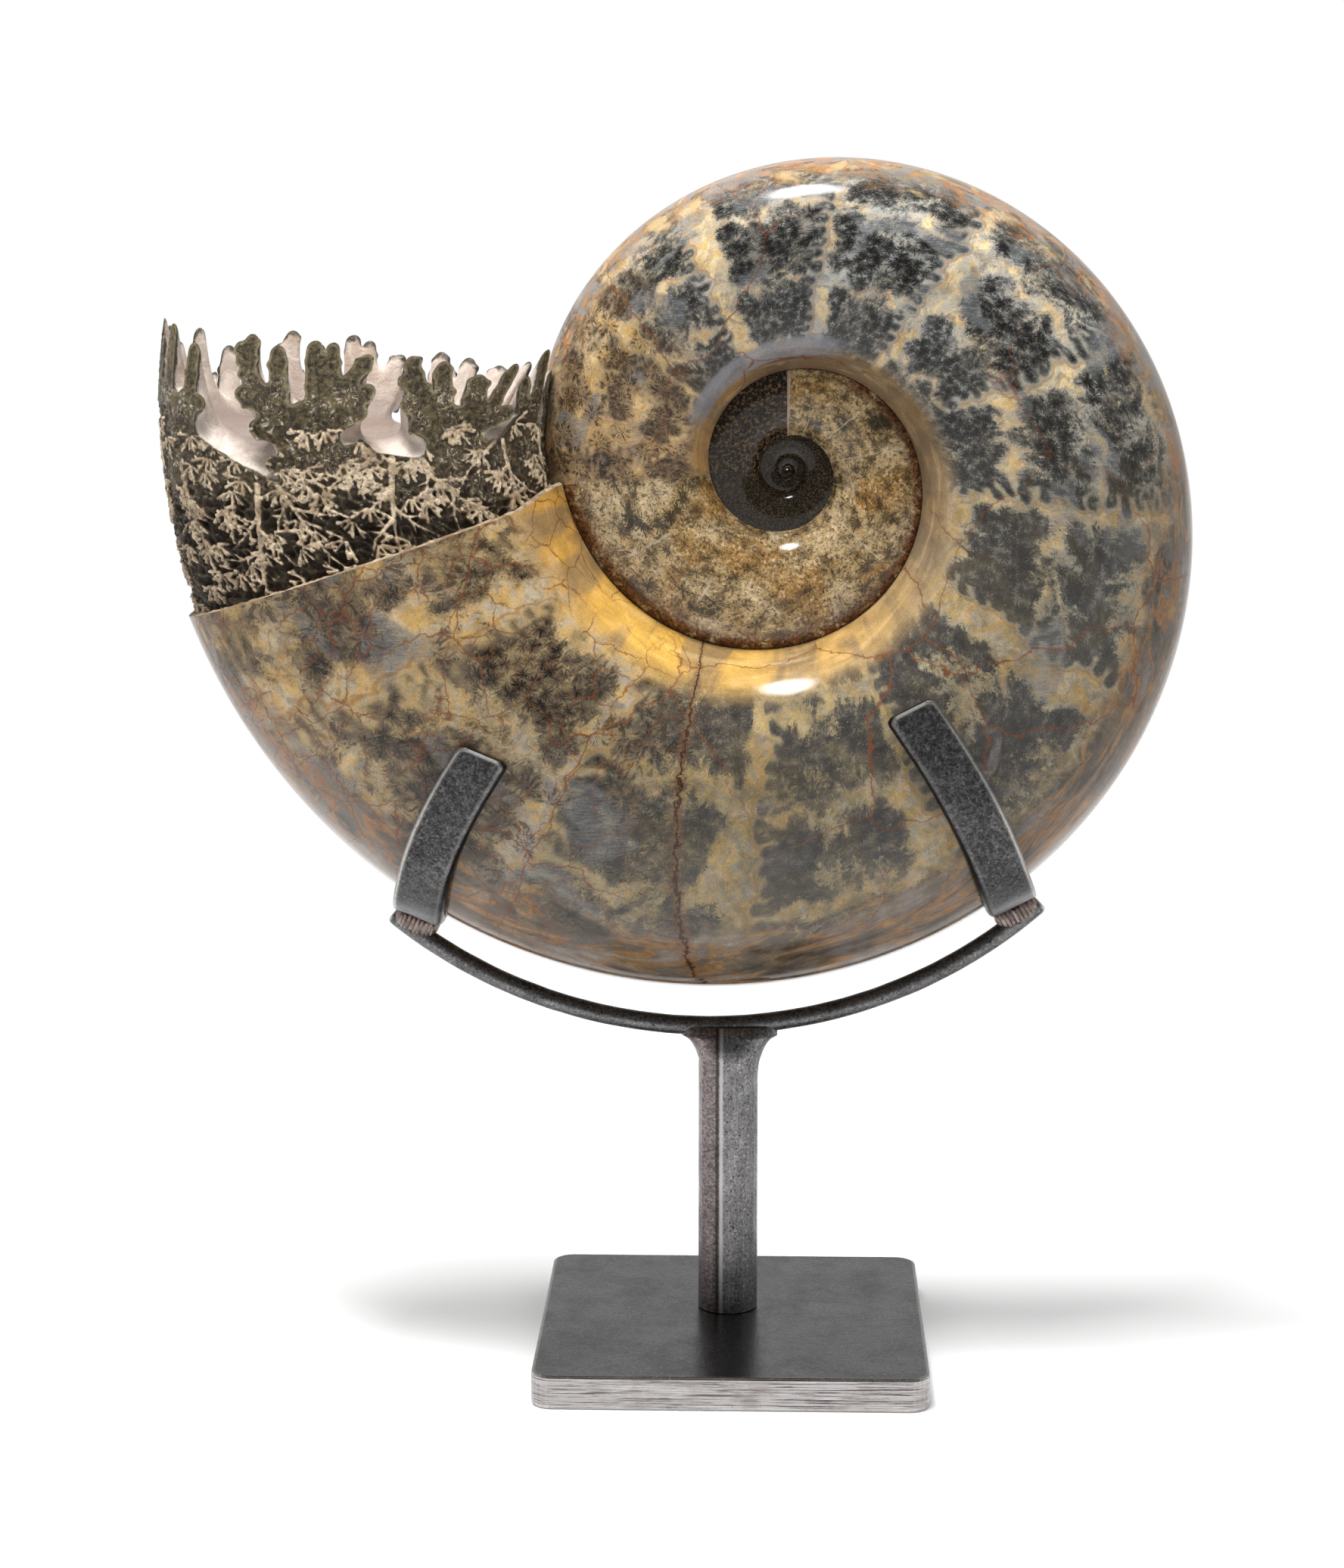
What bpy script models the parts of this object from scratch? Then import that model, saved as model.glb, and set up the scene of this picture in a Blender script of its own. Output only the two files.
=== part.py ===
"""Polished ammonite held in a welded steel display stand.

The fossil is one closed solid: a coiled shell that follows logarithmic spirals,
joined to the exposed chamber wall at its open end.  That wall ends upwards in a
frilled suture line, and the folded septum runs inwards from the line.  The stand
is a plate, a post, a bent rod and two U-shaped straps.

Frame: +X to the coiled side, +Y to the back, +Z up.  The origin is the centre of
the plate's underside.  Lengths are metres; growth angles are radians, 0 where the
last whorl crosses the horizontal on its open side, rising the way the shell grew.
"""

import math
import random

import bmesh
import bpy
import numpy as np
from mathutils import Matrix, Vector
from mathutils.geometry import delaunay_2d_cdt

MM = 0.001
GAP = 0.3 * MM                    # between pieces that touch

# ---- stand -------------------------------------------------------------------
PLATE_SIDE = 127.0 * MM
PLATE_THICKNESS = 11.0 * MM
PLATE_CORNER = 7.0 * MM           # radius of the ground vertical corners
PLATE_EDGE = 0.9 * MM
POST_X = -1.7 * MM
POST_Y = 8.4 * MM
POST_RADIUS = 9.9 * MM
WELD_REACH = 5.3 * MM             # how far the weld flares along the rod
WELD_HEIGHT = 8.5 * MM
WELD_HOLLOW = 2.6                 # 1 flares straight, more is hollower
WELD_NARROWING = 0.72             # how far the weld narrows to the rod, from front to back
ROD_RADIUS = 3.15 * MM
ROD_LOW_X = POST_X - 7.7 * MM     # lowest point of the rod's arc
ROD_LOW_Z = 107.8 * MM
ROD_OVERHANG = 8.5 * MM           # past the middle of each strap
STRAP_WIDTH = 17.0 * MM
STRAP_THICKNESS = 3.8 * MM
STRAP_EDGE = 0.8 * MM
STRAP_CORNER = 2.5 * MM
STRAP_CLEARANCE = 1.3 * GAP       # to the shell, whose facets lie a little inside its curves
CRADLE_CENTRE = 0.55              # height in a strap's arm of the middle that its U is drawn from
# name: where the strap's middle crosses the venter (growth angle), its lean from
# upright, and how high its two arms reach above that point
CRADLES = {
    "cradle_left": {"angle": -50.2, "lean": 23.0, "arm": 61.7 * MM},
    "cradle_right": {"angle": -117.7, "lean": -27.2, "arm": 74.5 * MM},
}

# ---- coil --------------------------------------------------------------------
COIL_CENTRE = Vector((POST_X + 18.5 * MM, POST_Y, 292.5 * MM))
VENTER_RADIUS = 205.4 * MM        # outer rim at growth angle 0
VENTER_GROWTH = 0.1495            # natural logarithm gained per radian
VENTER_SAG = 0.0355               # share by which it lies further out below the centre
DORSUM_RADIUS = 70.1 * MM         # inner rim of the whorl's oval at growth angle 0
DORSUM_GROWTH = 0.1745
THICKNESS_RATIO = 0.78            # whorl thickness over whorl height
FLANK_POWER = 2.25                # 2 is an ellipse, more is boxier
SHELL_END = math.radians(-3.0)    # where the polished shell stops at the seam
SHELL_TURNS = 3                   # whorls built before that end
TURN_STEPS = 48
FLANK_STEPS = 5                   # seam to seam
RIM_STEPS = 4                     # from the outer seam's line to the venter
# the polished shell ends in a plane that falls outwards
END_SLOPE = 0.333
END_LEVEL = 17.4 * MM             # its height above the coil centre, at the centre
END_SHEAR = math.radians(60.0)    # the stretch over which the columns lean to it

# ---- crown -------------------------------------------------------------------
CROWN_INSET = 1.8 * MM            # shell thickness, at the polished end
CROWN_TAPER = 0.035               # further inset per metre of height
CROWN_OVERLAP = 7.0 * MM          # how far it runs down inside the shell
IMPRESSED_GAP = 1.0 * MM          # to the whorl that it grew over
SEPTUM_CENTRE = 12.0 * MM         # height of the septum's middle above the coil centre
SUTURE_POINTS = 268
SMOOTH_PER_DEPTH = 2.0            # how fast the frills fade inwards
SETTLE_SHARE = 0.14               # how far inwards the septum has mostly sunk to its middle
SEPTUM_LAYERS = (0.0, 0.025, 0.055, 0.09, 0.13, 0.18, 0.26, 0.42, 0.7)
SEPTUM_THINNING = (1, 1, 1, 1, 2, 2, 4, 4, 4)
WALL_PITCH = 8.0 * MM             # spacing of the points inside the wall
STRAP_STEPS = 12                  # from the bottom of the U to a tip
POST_SIDES = 24
WELD_STEPS = 4
ROD_STEPS = 26
SEAT_LIFT = 2.2 * MM              # the rod's slope differs from the strap's, so a wedge is left
SEAT_LENGTH = 14.0 * MM
SEAT_WIDTH = 9.0 * MM
BEVEL_ANGLE = 50.0                # edges that turn by more are rounded
SHARP_ANGLE = 35.0                # edges that turn by more look sharp
FOSSIL_COLOR = (0.36, 0.27, 0.17)
STEEL_COLOR = (0.16, 0.155, 0.15)
# main limbs of the fronds on the front side, as (foot, foot height, tip, tip height,
# width) in frond units: places are measured round the section from the venter,
# heights from the fronds' base
FROND_UNIT = 0.955 * MM
FROND_BASE = -2.1 * MM            # above the coil centre
VENTRAL_FROND = (
    (22, 2, 22, 34, 36), (5, 8, 6, 53, 9), (17, 12, 17, 47, 7), (27, 14, 28, 52, 7),
    (39, 12, 42, 46, 7), (36, 24, 48, 27, 6),
)
FIRST_FROND = (
    (86, 2, 85, 29, 23), (79, 22, 66, 33, 8), (68, 30, 63, 38, 7), (64, 37, 60, 46, 5),
    (64, 36, 65, 50, 6), (76, 24, 74, 46, 7), (88, 26, 86, 48, 7), (93, 28, 92, 46, 6),
    (94, 28, 105, 42, 6), (94, 24, 107, 33, 7), (90, 20, 105, 24, 7), (78, 22, 60, 30, 7),
    (80, 16, 65, 19, 8), (82, 8, 70, 6, 6), (92, 8, 106, 13, 7),
)
SECOND_FROND = (
    (134, 6, 134, 27, 24), (126, 22, 120, 34, 8), (121, 32, 117, 43, 6), (122, 30, 114, 36, 5),
    (130, 24, 128, 41, 7), (140, 22, 141, 37, 9), (145, 22, 155, 39, 5), (126, 24, 115, 27, 6),
    (128, 18, 118, 20, 7), (142, 20, 156, 24, 6),
)
DORSAL_FROND = (
    (165, 6, 165, 27, 12), (161, 20, 160, 35, 6), (168, 20, 169, 43, 6), (164, 16, 156, 19, 5),
    (177, 8, 177, 37, 8),
)
# heights of the valley floors between them, (place, height) in frond units
VALLEYS = ((0, 14), (45, 15), (58, 8), (73, 1), (80, 2), (107, 11), (120, 9), (150, 15),
           (157, 22), (171, 18), (183, 16))
BACK_SCALE = 0.93                 # the fronds behind are this much lower
TIP_SPREAD = 1.0                  # random change of each tip's height, in frond units
FROND_SEED = 11
LIMB_TAPER = 0.8                  # width at a limb's tip over that at its foot
FOOT_BULGE = 0.6                  # length of the rounding at its foot over half its width


# ---- coil --------------------------------------------------------------------

def venter(angle):
    """Radius of the outer rim."""
    return VENTER_RADIUS * np.exp(VENTER_GROWTH * angle) * (1 - VENTER_SAG * np.sin(angle))


def whorl(angle):
    """Middle radius, half height and half thickness of the whorl's oval."""
    outer = venter(angle)
    inner = DORSUM_RADIUS * np.exp(DORSUM_GROWTH * angle)
    half = (outer - inner) / 2
    return (outer + inner) / 2, half, THICKNESS_RATIO * half


def squared(wave):
    """A sine or cosine, bent so that the oval gets its squarer shoulders."""
    return np.sign(wave) * np.abs(wave) ** (2 / FLANK_POWER)


def oval(angle, turn, inset=0.0):
    """Radius and half width of the section at `turn`, 0 at the dorsum, pi at the venter."""
    middle, height, thickness = whorl(angle)
    radius = middle - (height - inset) * squared(np.cos(turn))
    return radius, (thickness - inset) * squared(np.sin(turn))


def oval_level(angle, radius, width):
    """How far out a point of the section is: 1 on the oval, less inside it."""
    middle, height, thickness = whorl(angle)
    return (np.abs((radius - middle) / height) ** FLANK_POWER
            + np.abs(width / thickness) ** FLANK_POWER)


def seam_turn(angle):
    """Where the section meets the whorl that it grew over."""
    low = 0.0
    high = math.pi / 2
    for _ in range(40):
        middle = (low + high) / 2
        if oval_level(angle - 2 * math.pi, *oval(angle, middle)) < 1.0:
            low = middle
        else:
            high = middle
    return low


def covered_turn(angle):
    """Where the next whorl's seam lies on this section."""
    radius, width = oval(angle + 2 * math.pi, seam_turn(angle + 2 * math.pi))
    middle, height, thickness = whorl(angle)
    inward = (middle - radius) / height
    across = (width / thickness) ** (FLANK_POWER / 2)
    return math.atan2(across, math.copysign(abs(inward) ** (FLANK_POWER / 2), inward))


def place(angle, radius, width, side=1):
    """A point of the section from the coil's centre; side 1 is the front, -1 the back."""
    return Vector((-radius * math.cos(angle), -side * width, radius * math.sin(angle)))


def eased(share):
    share = min(max(share, 0.0), 1.0)
    return share * share * (3 - 2 * share)


def end_lean(turn, seam):
    """Growth angle from the shell's end at the seam to its end plane at `turn`."""
    angle = SHELL_END
    for _ in range(20):
        radius, _ = oval(angle, turn)
        angle = math.asin((END_LEVEL - END_SLOPE * radius * math.cos(angle)) / radius)
    return (angle - SHELL_END) * eased((turn - seam) / 0.5)


class ShellGrid:
    """Vertices of the coil, by side, column and row, shared along every seam."""

    def __init__(self, mesh):
        self.mesh = mesh
        self.last = SHELL_TURNS * TURN_STEPS
        self.open_from = self.last - TURN_STEPS
        self.columns = [self.column(step) for step in range(self.last + 1)]
        self.found = {}

    def column(self, step):
        angle = SHELL_END + (step - self.last) * 2 * math.pi / TURN_STEPS
        seam = seam_turn(angle)
        covered = covered_turn(angle)
        turns = [seam + (covered - seam) * row / FLANK_STEPS for row in range(FLANK_STEPS + 1)]
        turns += [covered + (math.pi - covered) * row / RIM_STEPS for row in range(1, RIM_STEPS + 1)]
        lean = eased(1 + (angle - SHELL_END) / END_SHEAR)
        leaned = [angle + (lean * end_lean(turn, seam) if lean else 0.0) for turn in turns]
        return [(at, *oval(at, turn)) for at, turn in zip(leaned, turns)]

    def rows(self, step):
        return FLANK_STEPS + (RIM_STEPS if step >= self.open_from else 0)

    def vertex(self, side, step, row):
        if row == FLANK_STEPS and step <= self.open_from:
            return self.vertex(side, step + TURN_STEPS, 0)
        if row == FLANK_STEPS + RIM_STEPS:
            side = 0
        key = (side, step, row)
        if key not in self.found:
            angle, radius, width = self.columns[step][row]
            self.found[key] = self.mesh.verts.new(place(angle, radius, width if side else 0.0, side or 1))
        return self.found[key]


def shell_mesh():
    """The polished coil: flanks, venter, its open end and its two hollow centres."""
    mesh = bmesh.new()
    grid = ShellGrid(mesh)
    for side in (1, -1):
        for step in range(grid.last):
            for row in range(grid.rows(step)):
                mesh.faces.new((grid.vertex(side, step, row), grid.vertex(side, step + 1, row),
                                grid.vertex(side, step + 1, row + 1), grid.vertex(side, step, row + 1)))
        hub = mesh.verts.new(place(0.0, 0.0, grid.columns[0][0][2], side))
        ring = [grid.vertex(side, step, 0) for step in range(TURN_STEPS + 1)]
        ring += [grid.vertex(side, 0, row) for row in range(FLANK_STEPS - 1, 0, -1)]
        for here, there in zip(ring, ring[1:] + ring[:1]):
            mesh.faces.new((hub, here, there))
    top = FLANK_STEPS + RIM_STEPS
    end = [grid.vertex(1, grid.last, row) for row in range(top + 1)]
    end += [grid.vertex(-1, grid.last, row) for row in range(top - 1, -1, -1)]
    end += [grid.vertex(-1, grid.open_from, row) for row in range(FLANK_STEPS + 1, top + 1)]
    end += [grid.vertex(1, grid.open_from, row) for row in range(top - 1, FLANK_STEPS, -1)]
    mesh.faces.new(end)
    return mesh


# ---- crown -------------------------------------------------------------------

def clear_of_earlier(angle, radius, width):
    """Move points that would lie in the earlier whorl out to just above it."""
    middle, _, _ = whorl(angle - 2 * math.pi)
    level = oval_level(angle - 2 * math.pi, radius, width)
    distance = np.hypot(radius - middle, width)
    grow = np.maximum(1.0, level ** (-1 / FLANK_POWER) * (1 + IMPRESSED_GAP / distance))
    return middle + (radius - middle) * grow, width * grow


def crown_section(turn, height):
    """Growth angle, radius and half width of the crown's wall at a height."""
    inset = CROWN_INSET + CROWN_TAPER * (height - END_LEVEL + END_SLOPE * VENTER_RADIUS)
    radius = np.full_like(turn, DORSUM_RADIUS + VENTER_RADIUS) / 2
    for _ in range(6):
        angle = np.arcsin(np.clip(height / radius, -0.9, 0.9))
        radius, width = clear_of_earlier(angle, *oval(angle, turn, inset))
    return angle, radius, width


def crown_points(turn, height, share=0.0, side=1):
    """Points at a share of the way from the wall to the section's middle."""
    angle, radius, width = crown_section(turn, height)
    middle = whorl(angle)[0]
    radius = middle + (radius - middle) * (1 - share)
    width = width * (1 - share)
    height = np.minimum(height, 0.95 * radius)
    return np.stack((-np.sqrt(radius ** 2 - height ** 2), -side * width, height), axis=-1)


def girth_table():
    """Distances round half the section, from the venter, and the turns they lie at."""
    turns = np.linspace(math.pi, 0.0, 400)
    points = crown_points(turns, np.full_like(turns, 10.0 * MM))
    steps = np.linalg.norm(np.diff(points, axis=0), axis=1)
    return np.concatenate(([0.0], np.cumsum(steps))), turns


GIRTH, GIRTH_TURNS = girth_table()
HALF_GIRTH = float(GIRTH[-1])


def wall_points(places, heights, share=0.0):
    """Points of the wall given round the section: places behind the venter are below 0."""
    turn = np.interp(np.abs(places), GIRTH, GIRTH_TURNS)
    side = np.where(places < 0, -1, 1)
    return crown_points(turn, heights, share, side)


def frond_point(place_round, height):
    """A point of the unrolled wall given in frond units."""
    return Vector((place_round, height)) * FROND_UNIT + Vector((0.0, FROND_BASE))


def limb_shape(foot, tip, width, steps=5):
    """Outline of one limb: a tapered bar with round ends."""
    ahead = (tip - foot).normalized()
    left = Vector((-ahead.y, ahead.x))
    reach = (tip - foot).length
    root = width / 2
    end = root * LIMB_TAPER
    turns = [math.pi * step / steps for step in range(steps + 1)]
    points = [foot + ahead * (reach - end + end * math.sin(turn)) + left * end * math.cos(turn)
              for turn in turns]
    points += [foot - ahead * FOOT_BULGE * root * math.sin(turn) - left * root * math.cos(turn)
               for turn in turns]
    return points


def limb_shapes():
    """Outlines of all limbs round the section."""
    draw = random.Random(FROND_SEED)
    shapes = []
    for side, scale in ((1, 1.0), (-1, BACK_SCALE)):
        for limb in VENTRAL_FROND + FIRST_FROND + SECOND_FROND + DORSAL_FROND:
            foot = frond_point(side * limb[0], scale * limb[1])
            spread = draw.uniform(-TIP_SPREAD, TIP_SPREAD)
            tip = frond_point(side * limb[2], scale * limb[3] + spread)
            shapes.append(limb_shape(foot, tip, limb[4] * FROND_UNIT))
    return shapes


def band_shape():
    """The wall below the fronds, whose top edge joins the valley floors."""
    right = [frond_point(*valley) for valley in VALLEYS]
    edge = Vector((HALF_GIRTH, right[-1].y))
    left = [frond_point(-place_round, BACK_SCALE * height) for place_round, height in VALLEYS[:0:-1]]
    left.insert(0, Vector((-HALF_GIRTH, edge.y)))
    low = -20.0 * MM
    return [Vector((-HALF_GIRTH, low)), Vector((HALF_GIRTH, low)), edge, *reversed(right), *reversed(left)]


def union_edge(shapes):
    """Walk the upper edge of overlapping outlines, from one end of the band to the other."""
    points = [point for shape in shapes for point in shape]
    starts = np.cumsum([0] + [len(shape) for shape in shapes])
    faces = [list(range(start, end)) for start, end in zip(starts, starts[1:])]
    places, _, triangles, *_ = delaunay_2d_cdt(points, [], faces, 1, 1e-7)
    sides = {(face[i - 1], face[i]) for face in triangles for i in range(3)}
    follow = {}
    for here, there in sides:
        if (there, here) not in sides:
            follow.setdefault(there, []).append(here)
    start = min(follow, key=lambda i: 5 * places[i].x - places[i].y)
    finish = max(follow, key=lambda i: 5 * places[i].x + places[i].y)
    walk = [start]
    came = Vector((0.0, 1.0))
    while walk[-1] != finish:
        here = places[walk[-1]]
        # at a point where outlines only touch, keep to the same side of the wall
        nearest = max(follow[walk[-1]], key=lambda i: came.angle_signed(places[i] - here, 0.0))
        came = places[nearest] - here
        walk.append(nearest)
    return np.array([places[i] for i in walk])


def spaced(line, count):
    """The same line with `count` equal steps."""
    lengths = np.concatenate(([0.0], np.cumsum(np.linalg.norm(np.diff(line, axis=0), axis=1))))
    marks = np.linspace(0.0, lengths[-1], count + 1)
    return np.stack([np.interp(marks, lengths, line[:, axis]) for axis in (0, 1)], axis=-1)


def suture_line(count):
    """The frilled edge of the crown as `count` steps round the section, corners rounded."""
    line = spaced(union_edge([band_shape(), *limb_shapes()]), count)
    line[1:-1] = (line[:-2] + 2 * line[1:-1] + line[2:]) / 4
    return spaced(line, count)


def faded(line, reach):
    """The suture line with the frills that are shorter than `reach` smoothed away."""
    count = len(line) - 1
    pitch = np.linalg.norm(np.diff(line, axis=0), axis=1).mean()
    trend = np.linspace(-HALF_GIRTH, HALF_GIRTH, count, endpoint=False)
    wave = line[:-1, 0] - trend + 1j * line[:-1, 1]
    tones = 2 * math.pi * np.fft.fftfreq(count) * reach / pitch
    wave = np.fft.ifft(np.fft.fft(wave) * np.exp(-0.5 * tones ** 2))
    return np.stack((wave.real + trend, wave.imag), axis=-1)


def septum_layers(line):
    """Rings of points from the suture line inwards, and the septum's middle."""
    depth = HALF_GIRTH / math.pi
    rings = []
    for layer, share in enumerate(SEPTUM_LAYERS):
        ring = faded(line, SMOOTH_PER_DEPTH * share * depth)[::SEPTUM_THINNING[layer]]
        settle = 1 - math.exp(-(share / SETTLE_SHARE) ** 1.6)
        heights = ring[:, 1] * (1 - settle) + SEPTUM_CENTRE * settle
        rings.append(wall_points(ring[:, 0], heights, share))
    return rings, Vector((-whorl(0.0)[0], 0.0, SEPTUM_CENTRE))


def floor_height(places):
    """Where the crown's wall ends, inside the shell below its end plane."""
    turn = np.interp(np.abs(places), GIRTH, GIRTH_TURNS)
    height = np.zeros_like(turn)
    for _ in range(8):
        _, radius, _ = crown_section(turn, height)
        height = END_LEVEL - END_SLOPE * np.sqrt(radius ** 2 - height ** 2) - CROWN_OVERLAP
    return height


def wall_patch(line, pitch):
    """Triangles of the crown's wall, unrolled, between the suture line and its foot."""
    foot_places = np.linspace(HALF_GIRTH, -HALF_GIRTH, round(2 * HALF_GIRTH / pitch))
    foot = np.stack((foot_places, floor_height(foot_places)), axis=-1)
    outline = np.concatenate((line, foot))
    spots = []
    for row, height in enumerate(np.arange(foot[:, 1].min(), line[:, 1].max(), 0.87 * pitch)):
        for place_at in np.arange(-HALF_GIRTH + pitch * (0.5 + row % 2 / 2), HALF_GIRTH - pitch / 2, pitch):
            if np.abs(outline - (place_at, height)).sum(axis=1).min() > 0.7 * pitch:
                spots.append(Vector((place_at, height)))
    points = [Vector(point) for point in outline] + spots
    order = list(range(len(outline)))[::-1]
    places, _, triangles, *_ = delaunay_2d_cdt(points, [], [order], 1, 1e-7)
    return np.array(places), triangles, len(line), len(outline)


def crown_mesh():
    """The chamber wall, the septum inside it, and a foot hidden in the shell."""
    mesh = bmesh.new()
    line = suture_line(SUTURE_POINTS)
    places, triangles, line_count, outline_count = wall_patch(line, WALL_PITCH)
    wall = [mesh.verts.new(point) for point in wall_points(places[:, 0], places[:, 1])]
    for face in triangles:
        mesh.faces.new([wall[i] for i in face])
    rings, hub = septum_layers(line)
    rows = [[mesh.verts.new(point) for point in ring] for ring in rings]
    for outer, inner in zip(rows, rows[1:]):
        share = len(outer) // len(inner)
        for i, vertex in enumerate(inner):
            after = inner[(i + 1) % len(inner)]
            edge = [outer[(i * share + step) % len(outer)] for step in range(share + 1)]
            if share == 1:
                mesh.faces.new((*edge, after, vertex))
            else:
                mesh.faces.new((edge[0], edge[1], vertex))
                mesh.faces.new((edge[1], after, vertex))
                mesh.faces.new((edge[1], edge[2], after))
    middle = mesh.verts.new(hub)
    for here, there in zip(rows[-1], rows[-1][1:] + rows[-1][:1]):
        mesh.faces.new((here, there, middle))
    sole = mesh.verts.new((hub.x, hub.y, END_LEVEL + END_SLOPE * hub.x - CROWN_OVERLAP))
    foot = wall[line_count:outline_count]
    for here, there in zip(foot, foot[1:]):
        mesh.faces.new((here, there, sole))
    bmesh.ops.remove_doubles(mesh, verts=mesh.verts, dist=1e-6)
    bmesh.ops.dissolve_degenerate(mesh, edges=mesh.edges, dist=1e-6)
    return mesh


# ---- stand -------------------------------------------------------------------

def shell_half_width(x, z):
    """Half width of the last whorl over a point of the coil's middle plane, 0 outside it."""
    angle = math.atan2(z, -x)
    if angle > SHELL_END:
        angle -= 2 * math.pi
    middle, height, thickness = whorl(angle)
    room = 1 - abs((math.hypot(z, x) - middle) / height) ** FLANK_POWER
    return thickness * max(room, 0.0) ** (1 / FLANK_POWER)


class Cradle:
    """Lines of one strap: its lean, and the U that clears the shell over its whole width.

    Its own frame has X across the strap and Z up along it, from a centre in the shell.
    """

    def __init__(self, angle, lean, arm):
        angle = math.radians(angle)
        self.lean = math.radians(lean)
        self.up = Vector((math.sin(self.lean), 0.0, math.cos(self.lean)))
        self.across = Vector((math.cos(self.lean), 0.0, -math.sin(self.lean)))
        self.centre = place(angle, venter(angle), 0.0) + self.up * CRADLE_CENTRE * arm
        self.steepest = self.slope_at((1 - CRADLE_CENTRE) * arm)

    def reach(self, slope):
        """Distance from the centre to the shell's surface at a slope, 0 straight to the front."""
        ahead = Vector((0.0, -math.cos(slope), 0.0)) + self.up * math.sin(slope)
        furthest = 0.0
        for share in (-0.5, -0.25, 0.0, 0.25, 0.5):
            start = self.centre + self.across * share * STRAP_WIDTH
            low = 0.0
            high = VENTER_RADIUS
            for _ in range(30):
                middle = (low + high) / 2
                point = start + ahead * middle
                if abs(point.y) < shell_half_width(point.x, point.z):
                    low = middle
                else:
                    high = middle
            furthest = max(furthest, low)
        return furthest

    def slope_at(self, rise):
        """Slope at which the shell's surface lies `rise` above the centre."""
        low = 0.0
        high = math.pi / 2
        for _ in range(30):
            middle = (low + high) / 2
            if self.reach(middle) * math.sin(middle) < rise:
                low = middle
            else:
                high = middle
        return low

    def profile(self):
        """Depth and height of the U's inner face, from the front arm's tip to the back arm's.

        Each arm runs straight on past the shell's widest place.
        """
        arm = []
        widest = 0.0
        for step in range(STRAP_STEPS + 1):
            slope = -math.pi / 2 + (self.steepest + math.pi / 2) * step / STRAP_STEPS
            reach = self.reach(slope) + STRAP_CLEARANCE
            widest = max(widest, reach * math.cos(slope))
            arm.append((widest, reach * math.sin(slope)))
        return [(-out, rise) for out, rise in arm[:0:-1]] + arm

    def underside(self):
        """Middle of the strap's lowest face, from the coil's centre."""
        return self.centre - self.up * (self.reach(-math.pi / 2) + STRAP_CLEARANCE + STRAP_THICKNESS)


def strap_mesh(cradle):
    """A ribbon along the U with rounded corners at its four tips."""
    mesh = bmesh.new()
    half = STRAP_WIDTH / 2
    rows = [(mesh.verts.new((-half, depth, rise)), mesh.verts.new((half, depth, rise)))
            for depth, rise in cradle.profile()]
    for (a, b), (c, d) in zip(rows, rows[1:]):
        mesh.faces.new((a, b, d, c))
    bmesh.ops.bevel(mesh, geom=[*rows[0], *rows[-1]], offset=STRAP_CORNER, segments=3,
                    profile=0.5, affect="VERTICES")
    return mesh


def post_mesh(length):
    """Round bar whose top flares into the weld under and beside the rod."""
    mesh = bmesh.new()
    weld_foot = length - ROD_RADIUS - WELD_HEIGHT
    levels = [(0.0, POST_RADIUS, POST_RADIUS)]
    for step in range(WELD_STEPS + 1):
        share = step / WELD_STEPS
        levels.append((weld_foot + share * (length - weld_foot),
                       POST_RADIUS + WELD_REACH * share ** WELD_HOLLOW,
                       POST_RADIUS * math.sqrt(1 - WELD_NARROWING * share ** 2)))
    turns = [2 * math.pi * side / POST_SIDES for side in range(POST_SIDES)]
    rings = []
    for height, long_half, short_half in levels:
        rings.append([mesh.verts.new((long_half * math.cos(turn), short_half * math.sin(turn), height))
                      for turn in turns])
    for lower, upper in zip(rings, rings[1:]):
        for side in range(POST_SIDES):
            after = (side + 1) % POST_SIDES
            mesh.faces.new((lower[side], lower[after], upper[after], upper[side]))
    mesh.faces.new(rings[0])
    mesh.faces.new(rings[-1])
    return mesh


def plate_mesh():
    """Square plate with its vertical corners ground round."""
    mesh = bmesh.new()
    bmesh.ops.create_cube(mesh, size=1.0)
    bmesh.ops.scale(mesh, vec=(PLATE_SIDE, PLATE_SIDE, PLATE_THICKNESS), verts=mesh.verts)
    upright = [edge for edge in mesh.edges
               if abs(edge.verts[0].co.z - edge.verts[1].co.z) > PLATE_THICKNESS / 2]
    bmesh.ops.bevel(mesh, geom=upright, offset=PLATE_CORNER, segments=6, profile=0.5, affect="EDGES")
    return mesh


class RodArc:
    """Circle of the rod's axis in the coil's middle plane, through its lowest point and
    under both straps."""

    def __init__(self, cradles):
        low = Vector((ROD_LOW_X - COIL_CENTRE.x, ROD_LOW_Z - COIL_CENTRE.z))
        ends = []
        for cradle in cradles:
            seat = cradle.underside() - cradle.up * (ROD_RADIUS + GAP + SEAT_LIFT)
            ends.append(Vector((seat.x, seat.z)))
        self.middle = self.circle_middle(low, *ends)
        self.radius = (low - self.middle).length
        self.spans = [math.asin((end.x - self.middle.x) / self.radius) for end in ends]

    @staticmethod
    def circle_middle(a, b, c):
        """Centre of the circle through three points."""
        rows = np.array([b - a, c - a])
        sums = np.array([b.dot(b) - a.dot(a), c.dot(c) - a.dot(a)]) / 2
        return Vector(np.linalg.solve(rows, sums))

    def point(self, span):
        return Vector((self.middle.x + self.radius * math.sin(span), 0.0,
                       self.middle.y - self.radius * math.cos(span)))

    def post_length(self):
        """From the plate to the rod's axis over the post."""
        span = math.asin((POST_X - COIL_CENTRE.x - self.middle.x) / self.radius)
        return COIL_CENTRE.z + self.point(span).z - PLATE_THICKNESS - GAP


# ---- objects -----------------------------------------------------------------

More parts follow.
